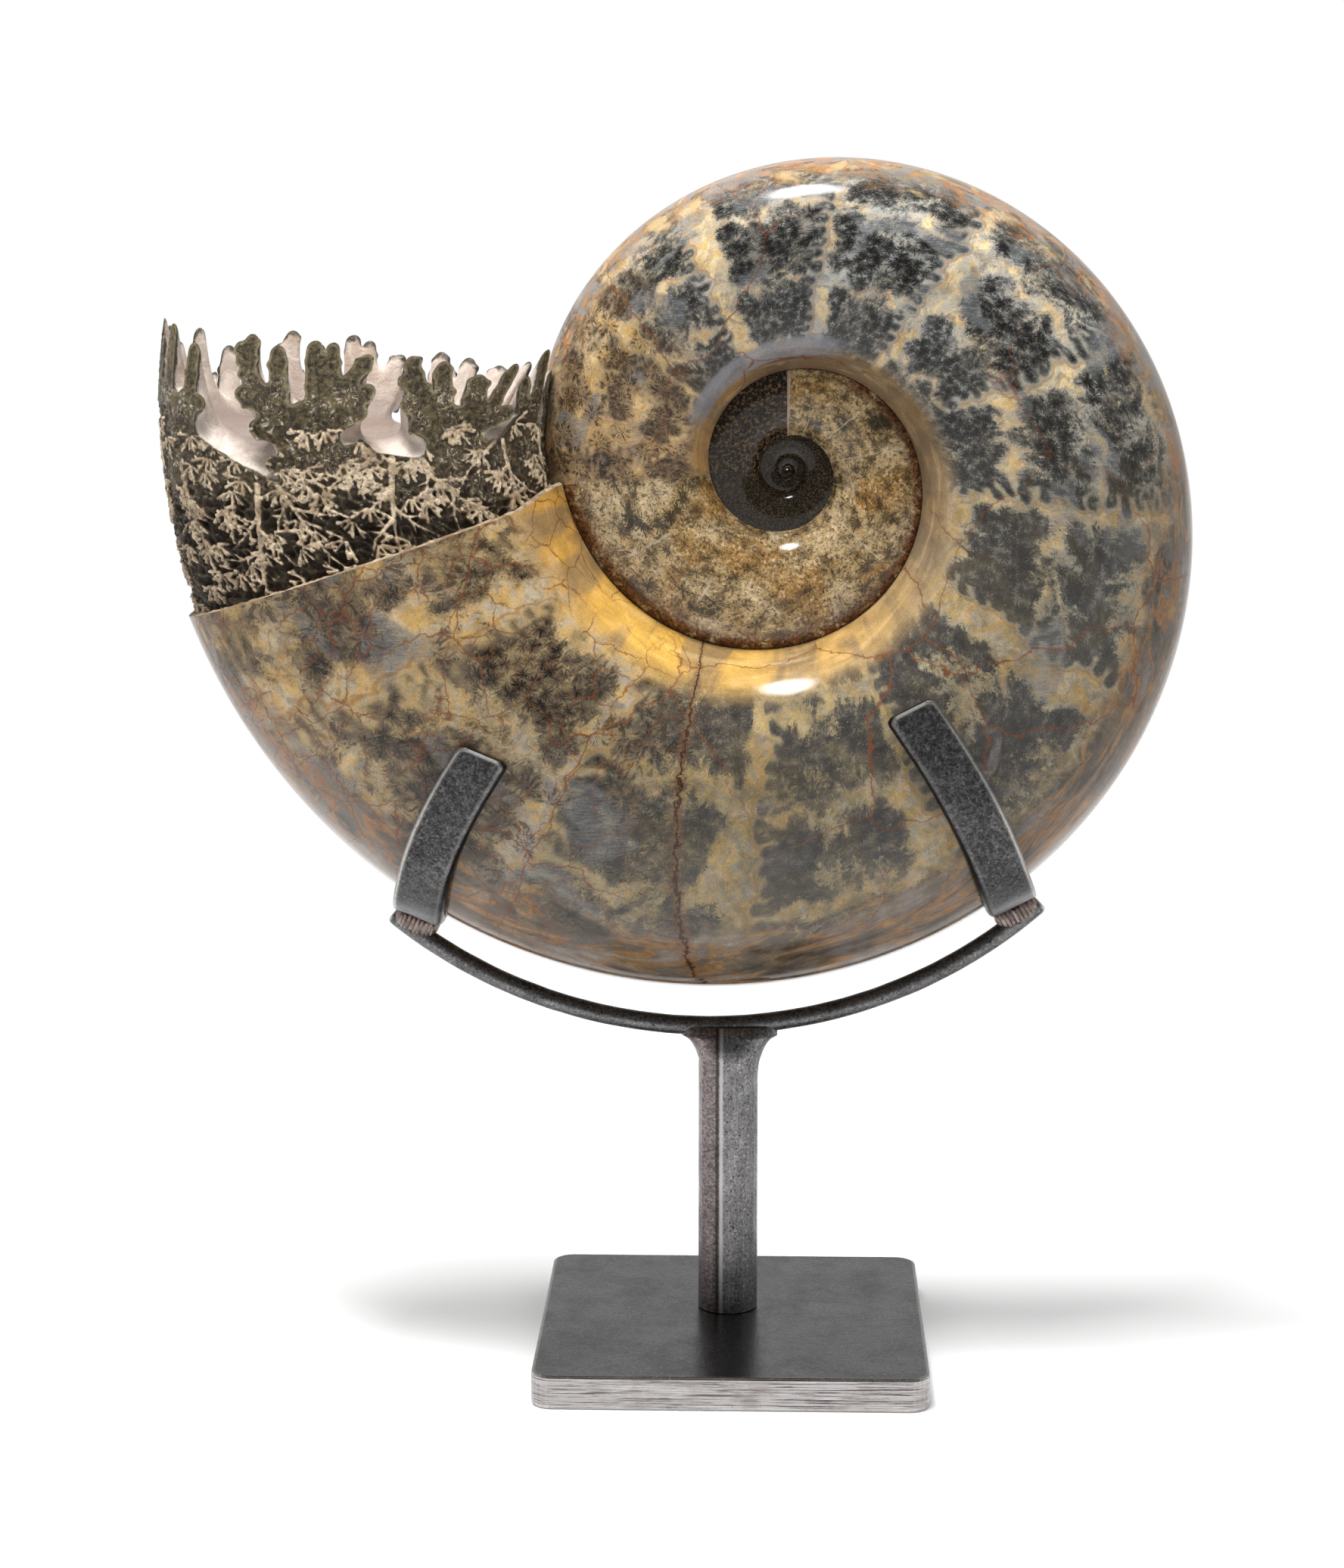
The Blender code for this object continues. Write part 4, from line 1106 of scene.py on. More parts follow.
def tube_mesh(name, rows, **ring_values):
    """A closed tube through rings of points from the coil's centre, with capped ends.

    Values are given for the points of one ring and are the same along the tube.
    """
    count, around = rows.shape[:2]
    points = rows.reshape(-1, 3)
    faces = []
    for i in range(count - 1):
        for j in range(around):
            k = (j + 1) % around
            faces.append((i * around + j, i * around + k, (i + 1) * around + k,
                          (i + 1) * around + j))
    caps = np.stack((rows[0].mean(axis=0), rows[-1].mean(axis=0)))
    first = len(points)
    for j in range(around):
        k = (j + 1) % around
        faces.append((k, j, first))
        faces.append(((count - 1) * around + j, (count - 1) * around + k, first + 1))
    values = {key: np.concatenate((np.tile(ring, count), (0.0, 0.0)))
              for key, ring in ring_values.items()}
    made = solid_mesh(name, np.concatenate((points, caps)), faces, **values)
    mesh = bmesh.new()
    mesh.from_mesh(made)
    bmesh.ops.recalc_face_normals(mesh, faces=mesh.faces)
    mesh.to_mesh(made)
    mesh.free()
    made.set_sharp_from_angle(angle=math.radians(SHARP_ANGLE))
    return made


class RodArc:
    """Circle of the rod's axis in the coil's middle plane.

    It goes through the rod's lowest point and under both straps.
    """

    def __init__(self, cradles):
        low = Vector((ROD_LOW_X - CENTRE.x, ROD_LOW_Z - CENTRE.z))
        ends = []
        for cradle in cradles:
            seat = cradle.underside() - cradle.up * (ROD_RADIUS + GAP + SEAT_LIFT)
            ends.append(Vector((seat.x, seat.z)))
        rows = np.array([end - low for end in ends])
        sums = np.array([end.dot(end) - low.dot(low) for end in ends]) / 2
        self.middle = Vector(np.linalg.solve(rows, sums))
        self.radius = (low - self.middle).length
        self.spans = [math.asin((end.x - self.middle.x) / self.radius) for end in ends]

    def point(self, span):
        """Point of the axis at an angle from straight below the circle's middle."""
        return Vector((self.middle.x + self.radius * math.sin(span), 0.0,
                       self.middle.y - self.radius * math.cos(span)))


def rod_mesh(arc):
    """The bent round rod, with slightly uneven drawn skin and chamfered ends."""
    first = arc.spans[0] - ROD_OVERHANG / arc.radius
    last = arc.spans[1] + ROD_OVERHANG / arc.radius
    rows = []
    for i, span in enumerate(np.linspace(first, last, ROD_COLUMNS)):
        middle = arc.point(span)
        out = Vector((math.sin(span), 0.0, -math.cos(span)))
        end = min(i, ROD_COLUMNS - 1 - i)
        radius = ROD_RADIUS * ROD_ENDS[min(end, 2)]
        ring = []
        for turn in np.linspace(0.0, TAU, ROD_SIDES, endpoint=False):
            ahead = out * math.cos(turn) + Vector((0.0, math.sin(turn), 0.0))
            spot = middle + ahead * radius
            ring.append(spot + ahead * noise.noise(spot / (7 * MM)) * 0.1 * MM)
        rows.append(ring)
    return tube_mesh("rod", np.array(rows))


def fillet_mesh(arc):
    """The ground weld that flares from the round post's top into the rod."""
    low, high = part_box("post")
    middle = (low + high) / 2 - CENTRE
    radius = (high.y - low.y) / 2
    top = arc.point(0.0).z
    under = top - ROD_RADIUS
    columns, sides = FILLET_ROWS
    rows = []
    for z in np.linspace(under - FILLET_HEIGHT, top, columns):
        rise = min(0.995, (z - under) / FILLET_HEIGHT + 1)
        out = TUCKED * (min(rise / 0.3, 1.7) - 1)
        flare = FILLET_WIDTH * (1 - math.sqrt(1 - rise ** 2)) + out
        narrow = np.clip((z - top) / FILLET_HEIGHT + 1, 0.0, 1.0)
        depth = radius * math.sqrt(1 - FILLET_NARROWING * narrow ** 2) + out
        ring = []
        for turn in np.linspace(0.0, TAU, sides, endpoint=False):
            across, ahead = math.cos(turn), math.sin(turn)
            spot = Vector((middle.x + across * (radius + flare), middle.y + ahead * depth, z))
            rough = noise.noise(spot / (3 * MM))
            ring.append(spot + Vector((across, ahead, 0.0)) * rough * 0.08 * MM)
        rows.append(ring)
    return tube_mesh("post_fillet", np.array(rows))


def bead_mesh(name, start, finish, radius, seed):
    """A weld bead: a run of overlapping ripples between two points."""
    ahead = (finish - start).normalized()
    side = Vector((0.0, 1.0, 0.0)).cross(ahead).normalized()
    up = ahead.cross(side)
    length = (finish - start).length
    columns = int(length / BEAD_PITCH)
    phase = random.Random(seed).uniform(0, TAU)
    rows = []
    for i in range(columns + 1):
        share = i / columns
        round_end = math.sqrt(max(1 - abs(2 * share - 1) ** 3.2, 0.02))
        ripple = 1 + 0.09 * math.sin(share * length / RIPPLE_PITCH * TAU + phase)
        ring = []
        for turn in np.linspace(0.0, TAU, BEAD_SIDES, endpoint=False):
            out = side * math.cos(turn) + up * math.sin(turn) * BEAD_FLATNESS
            spot = start + ahead * share * length + out * radius * round_end * ripple
            lump = 1 + 0.22 * noise.noise(spot / (2.6 * MM) + Vector((seed, 0, 0)))
            ring.append(start + ahead * share * length + out * radius * round_end * ripple * lump)
        rows.append(ring)
    return tube_mesh(name, np.array(rows))


# ---- materials -----------------------------------------------------------------------------

class Signal:
    """What comes out of a node, which can be reckoned with like a number."""

    def __init__(self, wires, socket):
        self.wires = wires
        self.socket = socket

    def __add__(self, other):
        return self.wires.math("ADD", self, other)

    def __sub__(self, other):
        return self.wires.math("SUBTRACT", self, other)

    def __rsub__(self, other):
        return self.wires.math("SUBTRACT", other, self)

    def __mul__(self, other):
        return self.wires.math("MULTIPLY", self, other)

    def __truediv__(self, other):
        return self.wires.math("DIVIDE", self, other)

    def __rtruediv__(self, other):
        return self.wires.math("DIVIDE", other, self)

    def __abs__(self):
        return self.wires.math("ABSOLUTE", self)


class Wiring:
    """Short words for wiring the nodes of one material or group."""

    def __init__(self, tree):
        self.tree = tree

    def node(self, kind, *inputs, out=0, **settings):
        made = self.tree.nodes.new("ShaderNode" + kind)
        for key, value in settings.items():
            if hasattr(made, key):
                setattr(made, key, value)
            else:
                self.put(made.inputs[key.replace("_", " ").title()], value)
        for socket, value in zip(made.inputs, inputs):
            self.put(socket, value)
        return Signal(self, made.outputs[out])

    def put(self, socket, value):
        value = value.socket if isinstance(value, Signal) else value
        if isinstance(value, bpy.types.NodeSocket):
            self.tree.links.new(value, socket)
        elif socket.type == "RGBA" and len(value) == 3:
            socket.default_value = (*value, 1.0)
        else:
            socket.default_value = value

    def math(self, operation, *values, clamp=False):
        return self.node("Math", *values, operation=operation, use_clamp=clamp)

    def value(self, name):
        """A value that the mesh carries on its points."""
        return self.node("Attribute", attribute_name=name, out=2)

    def vector(self, x=0.0, y=0.0, z=0.0):
        return self.node("CombineXYZ", x, y, z)

    def part_of(self, vector, axis):
        return self.node("SeparateXYZ", vector, out=axis)

    def on_object(self):
        """Places on the object, in metres."""
        return self.node("TexCoord", out=3)

    def scaled(self, vector, share):
        return self.node("VectorMath", vector, (share,) * 3, operation="MULTIPLY")

    def spot(self, grain):
        """Places on the object, in units of one grain (mm)."""
        return self.scaled(self.on_object(), 1000 / grain)

    def stretched(self, grain, shares):
        """The same, with its own share of the grain's fineness along each axis."""
        return self.node("VectorMath", self.spot(grain), shares, operation="MULTIPLY")

    def noise(self, where, detail=3.0, rough=0.55, bend=0.0, colour=False):
        return self.node("TexNoise", where, out=1 if colour else 0, scale=1.0, detail=detail,
                         roughness=rough, distortion=bend)

    def bent(self, chart, grain, detail, rough):
        """The places of a chart (mm), moved about in smooth bends."""
        bends = self.noise(self.spot(grain), detail, rough, colour=True)
        return self.node("VectorMath", bends, (3.0,) * 3, chart, operation="MULTIPLY_ADD")

    def bursts(self, where, hairs):
        """Small round bursts of radiating hairs: the distance from their middle, and the hairs."""
        distance = self.node("TexVoronoi", where, voronoi_dimensions="2D", scale=1.0)
        cell = distance.socket.node.outputs
        away = self.node("VectorMath", where, cell["Position"], operation="SUBTRACT")
        ahead = self.node("VectorMath", away, operation="NORMALIZE")
        apart = self.node("VectorMath", cell["Color"], (40.0,) * 3, away, operation="MULTIPLY_ADD")
        around = self.node("VectorMath", ahead, (hairs,) * 3, apart, operation="MULTIPLY_ADD")
        return distance, self.noise(around, 3.0, 0.65, 0.1)

    def step(self, value, low, high, to_low=0.0, to_high=1.0):
        """A soft step from one number to another, as a value goes from low to high."""
        return self.node("MapRange", value, low, high, to_low, to_high,
                         interpolation_type="SMOOTHSTEP")

    def mix(self, share, a, b):
        """A colour between two others."""
        made = self.tree.nodes.new("ShaderNodeMix")
        made.data_type = "RGBA"
        for key, value in ((0, share), (6, a), (7, b)):
            self.put(made.inputs[key], value)
        return Signal(self, made.outputs[2])

    def tint(self, base, value, low, high, colour, share=1.0):
        """A colour that goes over into another as a value goes from low to high."""
        return self.mix(self.step(value, low, high, 0.0, share), base, colour)

    def between(self, share, a, b):
        """A number between two others."""
        made = self.tree.nodes.new("ShaderNodeMix")
        for key, value in ((0, share), (2, a), (3, b)):
            self.put(made.inputs[key], value)
        return Signal(self, made.outputs[0])

    def ramp(self, value, *stops):
        """Colours along a value; each stop is (position, colour)."""
        made = self.tree.nodes.new("ShaderNodeValToRGB")
        elements = made.color_ramp.elements
        while len(elements) < len(stops):
            elements.new(0.5)
        for element, (position, colour) in zip(elements, stops):
            element.position = position
            element.color = (*colour, 1.0)
        self.put(made.inputs[0], value)
        return Signal(self, made.outputs[0])

    def bump(self, height, strength, distance):
        made = self.tree.nodes.new("ShaderNodeBump")
        self.put(made.inputs["Height"], height)
        made.inputs["Strength"].default_value = strength
        made.inputs["Distance"].default_value = distance
        return Signal(self, made.outputs[0])


def new_material(name):
    """An empty node material and its Principled shader."""
    made = bpy.data.materials.new(name)
    made.use_nodes = True
    return made, Wiring(made.node_tree), made.node_tree.nodes["Principled BSDF"]


def new_group(name, inputs, outputs):
    """A shader node group with named sockets: its wiring, its inputs and its output node."""
    tree = bpy.data.node_groups.new(name, "ShaderNodeTree")
    for title, default in inputs.items():
        kind = "NodeSocketColor" if isinstance(default, tuple) else "NodeSocketFloat"
        socket = tree.interface.new_socket(title, in_out="INPUT", socket_type=kind)
        socket.default_value = (*default, 1.0) if isinstance(default, tuple) else default
    for title, kind in outputs.items():
        tree.interface.new_socket(title, in_out="OUTPUT", socket_type=kind)
    wires = Wiring(tree)
    given = tree.nodes.new("NodeGroupInput").outputs
    return (wires, {title: Signal(wires, given[title]) for title in inputs},
            tree.nodes.new("NodeGroupOutput").inputs)


def build_grain_group(name):
    """Mineral grain: fine dark and light specks over cloudy patches."""
    wires, given, gives = new_group(
        name, {"Colour": (0.5, 0.5, 0.5), "Amount": 0.3, "Cloud": 0.2},
        {"Colour": "NodeSocketColor"})
    fine = wires.noise(wires.spot(0.45), 4.0, 0.7)
    cloud = wires.noise(wires.spot(9.0), 4.0, 0.6, 0.6)
    lit = wires.step(fine, 0.3, 0.7, -1.0, 1.0) * given["Amount"] + 1.0
    lit = wires.step(cloud, 0.3, 0.7, -1.0, 1.0) * given["Cloud"] + lit
    wires.put(gives["Colour"], wires.node("VectorMath", given["Colour"], operation="SCALE",
                                          scale=lit))


def build_wear_group(name):
    """Edge wear of steel: where an edge is sharp the dark skin is rubbed off it."""
    wires, given, gives = new_group(name, {"Width": 0.0012, "Breakup": 0.5},
                                    {"Mask": "NodeSocketFloat"})
    bevel = wires.tree.nodes.new("ShaderNodeBevel")
    bevel.samples = 6
    wires.put(bevel.inputs["Radius"], given["Width"])
    normal = wires.node("NewGeometry", out=1)
    flat = wires.node("VectorMath", bevel.outputs[0], normal, out=1, operation="DOT_PRODUCT")
    broken = wires.noise(wires.spot(2.2), 4.0, 0.65)
    keep = wires.step(given["Breakup"] * -0.5 + broken, 0.1, 0.35)
    wires.put(gives["Mask"], wires.step(flat, 0.998, 0.95) * keep)


def build_crack_group(name):
    """Thin cracks: a mask of the edges of large bent cells, kept only in places."""
    wires, given, gives = new_group(name, {"Size": 20.0, "Width": 0.2, "Cover": 0.5},
                                    {"Mask": "NodeSocketFloat"})
    spot = wires.node("VectorMath", wires.on_object(), operation="SCALE",
                      scale=1000.0 / given["Size"])
    bent = wires.node("TexNoise", spot, out=1, scale=2.4, detail=4.0, roughness=0.6)
    moved = wires.node("VectorMath", bent, (0.34,) * 3, spot, operation="MULTIPLY_ADD")
    edge = wires.node("TexVoronoi", moved, feature="DISTANCE_TO_EDGE", scale=1.0) * given["Size"]
    line = wires.math("SUBTRACT", 1.0, edge / given["Width"], clamp=True)
    where = wires.node("TexNoise", spot, scale=0.55, detail=2.0)
    limit = 1.0 - given["Cover"]
    kept = wires.node("MapRange", where, limit - 0.06, limit + 0.06, 0.0, 1.0)
    wires.put(gives["Mask"], line * kept)


GROUPS = {"Mineral grain": build_grain_group, "Edge wear": build_wear_group,
          "Cracks": build_crack_group}


def use_group(wires, name, **inputs):
    """A group's first output in a material, with this material's own values."""
    if name not in bpy.data.node_groups:
        GROUPS[name](name)
    made = wires.tree.nodes.new("ShaderNodeGroup")
    made.node_tree = bpy.data.node_groups[name]
    for key, value in inputs.items():
        wires.put(made.inputs[key.capitalize()], value)
    return Signal(wires, made.outputs[0])


def steel_material(name, props, level=1.0, streaks=(1.0, 1.0, 1.0), shine=0.0,
                   bare_sides=False, seam=None, mottled=False):
    """Dark oxide-skinned steel with ground streaks and bright rubbed edges."""
    made, wires, shader = new_material(name)
    colour, pale, bright = (tuple(level * share * c for c in props.steel_colour)
                            for share in (1.1, 1.9, 4.2))
    patches = wires.noise(wires.spot(16.0), 6.0, 0.7, 0.2)
    base = wires.tint(colour, patches, 0.3, 0.7, pale)
    fine = wires.noise(wires.spot(0.8), 3.0, 0.7)
    base = wires.tint(base, fine, 0.54, 0.74, bright)
    base = wires.tint(base, fine, 0.47, 0.3, (0.008, 0.008, 0.009))
    drawn = wires.noise(wires.stretched(1.0, streaks), 3.0, 0.6)
    base = wires.tint(base, drawn, 0.54, 0.74, bright, 0.35)
    rough = wires.step(patches, 0.3, 0.7, 0.46 - shine, 0.33 - shine)
    if bare_sides:
        base, drawn = sawn_sides(wires, base, drawn, patches, props)
    if mottled:
        base = mottled_skin(wires, base, bright)
    if seam is not None:
        base = seamed_bar(wires, base, bright, seam)
    else:
        worn = use_group(wires, "Edge wear", width=0.0024 if mottled else 0.0016, breakup=0.2)
        if mottled:
            worn = worn * (1.0 - wires.value("ground"))
        base = wires.mix(worn, base, props.worn_colour)
        rough = wires.between(worn, rough, 0.24)
    wires.put(shader.inputs["Base Color"], base)
    shader.inputs["Metallic"].default_value = 1.0
    wires.put(shader.inputs["Roughness"], rough)
    wires.put(shader.inputs["Normal"], wires.bump(drawn * 0.6 + fine * 0.5, 0.35, 0.0003))
    return made


def sawn_sides(wires, base, drawn, patches, props):
    """The plate's sides: bare saw-cut steel with dark and bright lines along it."""
    upward = abs(wires.part_of(wires.node("NewGeometry", out=1), 2))
    side = wires.step(upward, 0.75, 0.4)
    sawn = wires.noise(wires.stretched(1.0, (0.05, 0.05, 1.1)), 5.0, 0.75)
    lines = wires.noise(wires.stretched(1.0, (0.04, 0.04, 2.6)), 3.0, 0.7)
    cut = wires.tint((0.12, 0.105, 0.104), sawn, 0.36, 0.5, (0.34, 0.325, 0.32))
    cut = wires.tint(cut, lines, 0.47, 0.4, (0.05, 0.043, 0.043), 0.9)
    cut = wires.tint(cut, lines, 0.6, 0.7, props.worn_colour, 0.7)
    cut = wires.tint(cut, patches, 0.48, 0.66, (0.18, 0.155, 0.15), 0.6)
    return wires.mix(side, base, cut), wires.between(side, drawn, sawn)


def mottled_skin(wires, base, bright):
    """Blots on the straps, with painted shade: the dark blots are painted denser higher up, and the
    wider ground edge is painted dark.
    """
    blots = wires.noise(wires.spot(1.5), 5.0, 0.75, 0.2)
    # painted shade: more dark blots higher up the arms, a painted dark reflection
    painted_shade_above = wires.step(wires.part_of(wires.on_object(), 2), 0.135, 0.18, 0.25, 0.75)
    base = wires.mix(wires.step(blots, 0.6, 0.4) * painted_shade_above, base, (0.014, 0.014, 0.015))
    base = wires.tint(base, blots, 0.6, 0.72, bright, 0.4)
    # painted shade: the wider ground edge towards the coil's middle is painted dark
    return wires.mix(wires.value("ground") * 0.85, base, (0.014, 0.013, 0.013))


def seamed_bar(wires, base, bright, seam):
    """The post's front: a painted highlight along the ridge of its seam and painted shade in a
    groove beside it, scaly to the left of it.
    """
    across = wires.part_of(wires.on_object(), 0) - seam
    front = wires.step(wires.part_of(wires.node("NewGeometry", out=1), 1), -0.2, -0.6)
    scaly = wires.noise(wires.stretched(1.4, (1.0, 1.0, 1.6)), 4.0, 0.7, 0.8)
    rusty = wires.tint((0.05, 0.044, 0.043), scaly, 0.4, 0.6, (0.26, 0.2, 0.19))
    left = wires.step(across, 0.0004, -0.0006) * front
    base = wires.mix(left * 0.75, base, rusty)
    # painted highlight: a bright line along the seam's ridge
    ridge = wires.step(abs(across), 0.0009, 0.0002, 0.0, 0.8)
    base = wires.mix(ridge * front, base, bright)
    # painted shade: a dark line for the groove beside the ridge
    groove = wires.step(abs(across + 0.0014), 0.0008, 0.0002, 0.0, 0.8)
    return wires.mix(groove * front, base, (0.03, 0.028, 0.028))


def weld_material(props):
    """Weld metal: pinkish brown heat tint over ripples."""
    made, wires, shader = new_material("weld_metal")
    patches = wires.noise(wires.spot(3.2), 4.0, 0.6, 0.5)
    base = wires.tint(props.weld_colour, patches, 0.35, 0.65, (0.2, 0.15, 0.135))
    fine = wires.noise(wires.spot(0.6), 3.0, 0.7)
    base = wires.tint(base, fine, 0.55, 0.75, (0.42, 0.37, 0.35))
    wires.put(shader.inputs["Base Color"], base)
    shader.inputs["Metallic"].default_value = 1.0
    wires.put(shader.inputs["Roughness"], wires.step(patches, 0.3, 0.7, 0.5, 0.34))
    wires.put(shader.inputs["Normal"], wires.bump(fine, 0.5, 0.0004))
    return made


class ShellFields:
    """What the shell's colours depend on: places on the coil, textures and frayed leaves."""

    def __init__(self, wires):
        for name in ("leaf", "rise", "along", "growth", "girth", "crust"):
            setattr(self, name, wires.value(name))
        self.round_at = abs(self.girth)
        self.turn = wires.node("MapRange", self.growth, *LAST_TURN, 0.0, 1.0)
        self.under = wires.step(self.growth, -3.4, -2.5) * wires.step(self.growth, -0.3, -0.9)
        self.clouds = wires.noise(wires.spot(24.0), 5.0, 0.55, 0.8)
        self.drift = wires.noise(wires.spot(11.0), 5.0, 0.62, 1.6)
        self.patchy = wires.noise(wires.spot(7.0), 5.0, 0.62, 1.4)
        self.warp = wires.noise(wires.spot(3.4), 4.0, 0.68, 0.4)
        self.grit = wires.noise(wires.spot(1.6), 4.0, 0.72)
        self.fine = wires.noise(wires.spot(0.55), 4.0, 0.72)
        chart = wires.vector(self.girth, self.growth * (SUTURE_RADIUS / MM))
        self.chart = wires.bent(chart, 6.0, 3.0, 0.6)
        self.fray(wires)

    def fray(self, wires):
        """Feather the leaves' outlines with small bursts of hairs, and fill them with veins."""
        wide, twig = wires.bursts(wires.scaled(self.chart, 1 / 11.0), 2.6)
        narrow = wires.node("VectorMath", self.chart, (1 / 3.9, 1 / 6.5, 0.0),
                            operation="MULTIPLY")
        small, self.hair = wires.bursts(narrow, 3.4)
        combed = wires.noise(wires.vector(self.along / 0.9, self.leaf / 8.0), 3.0, 0.7, 0.4)
        ragged = wires.noise(wires.vector(self.along / 2.6, self.leaf / 11.0, 7.0), 3.0, 0.6, 0.4)
        thinner = wires.step(self.growth, -0.9, -0.3, 0.0, 1.6)
        self.pushed = self.leaf - (thinner + wires.step(self.growth, -5.4, -5.9))
        loose = wires.step(self.rise, -9.0, -3.0, 1.0, 0.3)
        for texture, reach in ((combed, 7.0), (ragged, 6.0), (self.hair, 5.0), (twig, 4.0),
                               (self.clouds, 7.0), (self.grit, 4.0)):
            self.pushed = (texture - 0.48) * reach * loose + self.pushed
        self.veins = (0.45 - wide) * 0.8 + ((self.hair - 0.5) * 3.0 + (0.45 - small))

    def places_on(self, wires, per_growth, girth, layer=0.0):
        """A chart for noise that is drawn out along the coil."""
        return wires.vector(self.growth * per_growth, self.girth / girth, layer)


def coil_tones(wires, on, props):
    """Ground, cloud and leaf colours, which drift round the last whorl as it grew."""
    peach, cream, tan, dark = (props.peach_colour, props.cream_colour, props.tan_colour,
                               props.leaf_colour)
    ground = wires.ramp(on.turn, (0.0, peach), (0.1, peach), (0.16, cream), (0.45, cream),
                        (0.6, tan), (0.72, (0.29, 0.235, 0.125)), (0.85, (0.31, 0.235, 0.115)),
                        (0.94, (0.5, 0.32, 0.12)), (1.0, (0.5, 0.3, 0.1)))
    cloud = wires.ramp(on.turn, (0.0, (0.38, 0.23, 0.1)), (0.12, tan), (0.3, (0.36, 0.36, 0.34)),
                       (0.45, (0.42, 0.36, 0.26)), (0.66, (0.32, 0.3, 0.26)),
                       (0.8, (0.2, 0.18, 0.16)), (0.9, (0.38, 0.325, 0.25)),
                       (1.0, (0.5, 0.4, 0.25)))
    leaves = wires.ramp(on.turn, (0.0, (0.03, 0.018, 0.01)), (0.1, (0.026, 0.018, 0.012)),
                        (0.17, dark), (0.5, dark), (0.68, (0.026, 0.024, 0.021)),
                        (0.82, (0.036, 0.03, 0.022)), (0.92, (0.07, 0.046, 0.026)),
                        (1.0, (0.1, 0.063, 0.034)))
    middle = wires.ramp(on.turn, (0.0, (0.24, 0.155, 0.08)), (0.1, (0.2, 0.14, 0.08)),
                        (0.17, (0.085, 0.082, 0.072)), (0.3, (0.078, 0.079, 0.076)),
                        (0.55, (0.07, 0.069, 0.062)), (0.7, (0.1, 0.09, 0.072)),
                        (0.85, (0.095, 0.08, 0.058)), (0.94, (0.15, 0.11, 0.065)),
                        (1.0, (0.2, 0.14, 0.08)))
    return ground, cloud, leaves, middle


def ground_colour(wires, on, ground, cloud, amber):
    """Cream and amber ground, rusty amid the saddles, with amber rings ahead of the bulbs."""
    ground = wires.tint(ground, on.drift, 0.43, 0.53, cloud, 0.9)
    ground = wires.tint(ground, on.patchy, 0.5, 0.62, amber, 0.6)
    ground = wires.tint(ground, on.patchy, 0.46, 0.36, (0.17, 0.13, 0.085), 0.55)
    within = wires.step(on.rise, -6.0, -12.0) * wires.step(on.rise, -60.0, -50.0)
    core = wires.step(on.leaf, -0.8, -1.2) * wires.step(on.leaf, -2.2, -1.6)
    core = within * core * wires.step(on.patchy, 0.46, 0.6)
    core = core * wires.step(on.growth, -2.8, -3.4, 0.2, 0.75)
    ground = wires.mix(core, ground, (0.34, 0.12, 0.03))
    ring = wires.step(on.leaf, -2.8, -1.8) * wires.step(on.leaf, -0.4, -1.2)
    ring = ring * wires.step(on.rise, -8.0, 1.0)
    return wires.mix(ring * 0.7, ground, (0.3, 0.15, 0.04))


def leaf_colour(wires, on, props):
    """Leaves on the ground: a pale halo, then slate, then charcoal, all drawn out in hairs."""
    ground, cloud, leaves, middle = coil_tones(wires, on, props)
    shade = ground_colour(wires, on, ground, cloud, props.amber_colour)
    halo = wires.ramp(on.turn, (0.0, (0.36, 0.24, 0.12)), (0.1, (0.34, 0.25, 0.14)),
                      (0.2, (0.31, 0.32, 0.31)), (0.5, (0.31, 0.32, 0.3)),
                      (0.66, (0.28, 0.25, 0.17)), (0.78, (0.26, 0.21, 0.11)),
                      (1.0, (0.34, 0.23, 0.1)))
    halo = wires.tint(halo, on.clouds, 0.4, 0.6, (0.22, 0.165, 0.09), 0.6)
    shade = wires.tint(shade, on.pushed, -2.8, 0.4, halo, 0.85)
    slate = wires.tint(middle, on.patchy, 0.4, 0.6, wires.mix(0.5, middle, leaves))
    shade = wires.tint(shade, on.pushed, -0.8, 1.6, slate)
    deep = wires.tint(slate, on.veins, -0.25, -0.45, halo, 0.7)
    deep = wires.tint(deep, on.veins, -0.15, 0.2, leaves)
    deep = wires.tint(deep, on.veins, 0.15, 0.5, (0.009, 0.009, 0.008))
    return wires.tint(shade, on.pushed, 0.8, 3.0, deep)


def add_flat_patches(wires, on, shade):
    """Flat bluish patches with fine parallel scratches."""
    flat = wires.noise(on.places_on(wires, 4.2, 26.0), 2.0, 0.5, 0.6)
    flat = wires.step(flat, 0.56, 0.63) * wires.step(on.round_at, 112.0, 90.0)
    scratch = wires.noise(wires.stretched(0.5, (0.1, 1.0, 1.6)), 3.0, 0.6)
    tone = wires.tint((0.09, 0.095, 0.1), scratch, 0.4, 0.62, (0.19, 0.195, 0.2))
    return wires.mix(flat * 0.6, shade, tone)


def add_golden_ferns(wires, on, shade):
    """Brown ferns with dark veins where the whorl is golden: at its start and its end."""
    golden = wires.math("MAXIMUM", wires.step(on.growth, -5.2, -5.7),
                        wires.step(on.growth, -1.5, -1.0, 0.0, 0.8))
    clusters = wires.math("MAXIMUM", wires.step(on.growth, -3.0, -3.1),
                          wires.step(on.clouds, 0.46, 0.54))
    golden = golden * clusters
    apart, vein = wires.bursts(wires.scaled(on.chart, 1 / 17.0), 3.0)
    reach = (on.hair - 0.5) * 0.7 + apart
    fern = wires.tint((0.17, 0.1, 0.045), on.growth, -3.0, -2.9, (0.12, 0.095, 0.07))
    shade = wires.mix(golden * wires.step(reach, 0.56, 0.42, 0.0, 0.45), shade, fern)
    vein = wires.step(vein, 0.51, 0.56) * wires.step(reach, 0.54, 0.4)
    return wires.mix(golden * vein * 0.9, shade, (0.022, 0.013, 0.008))


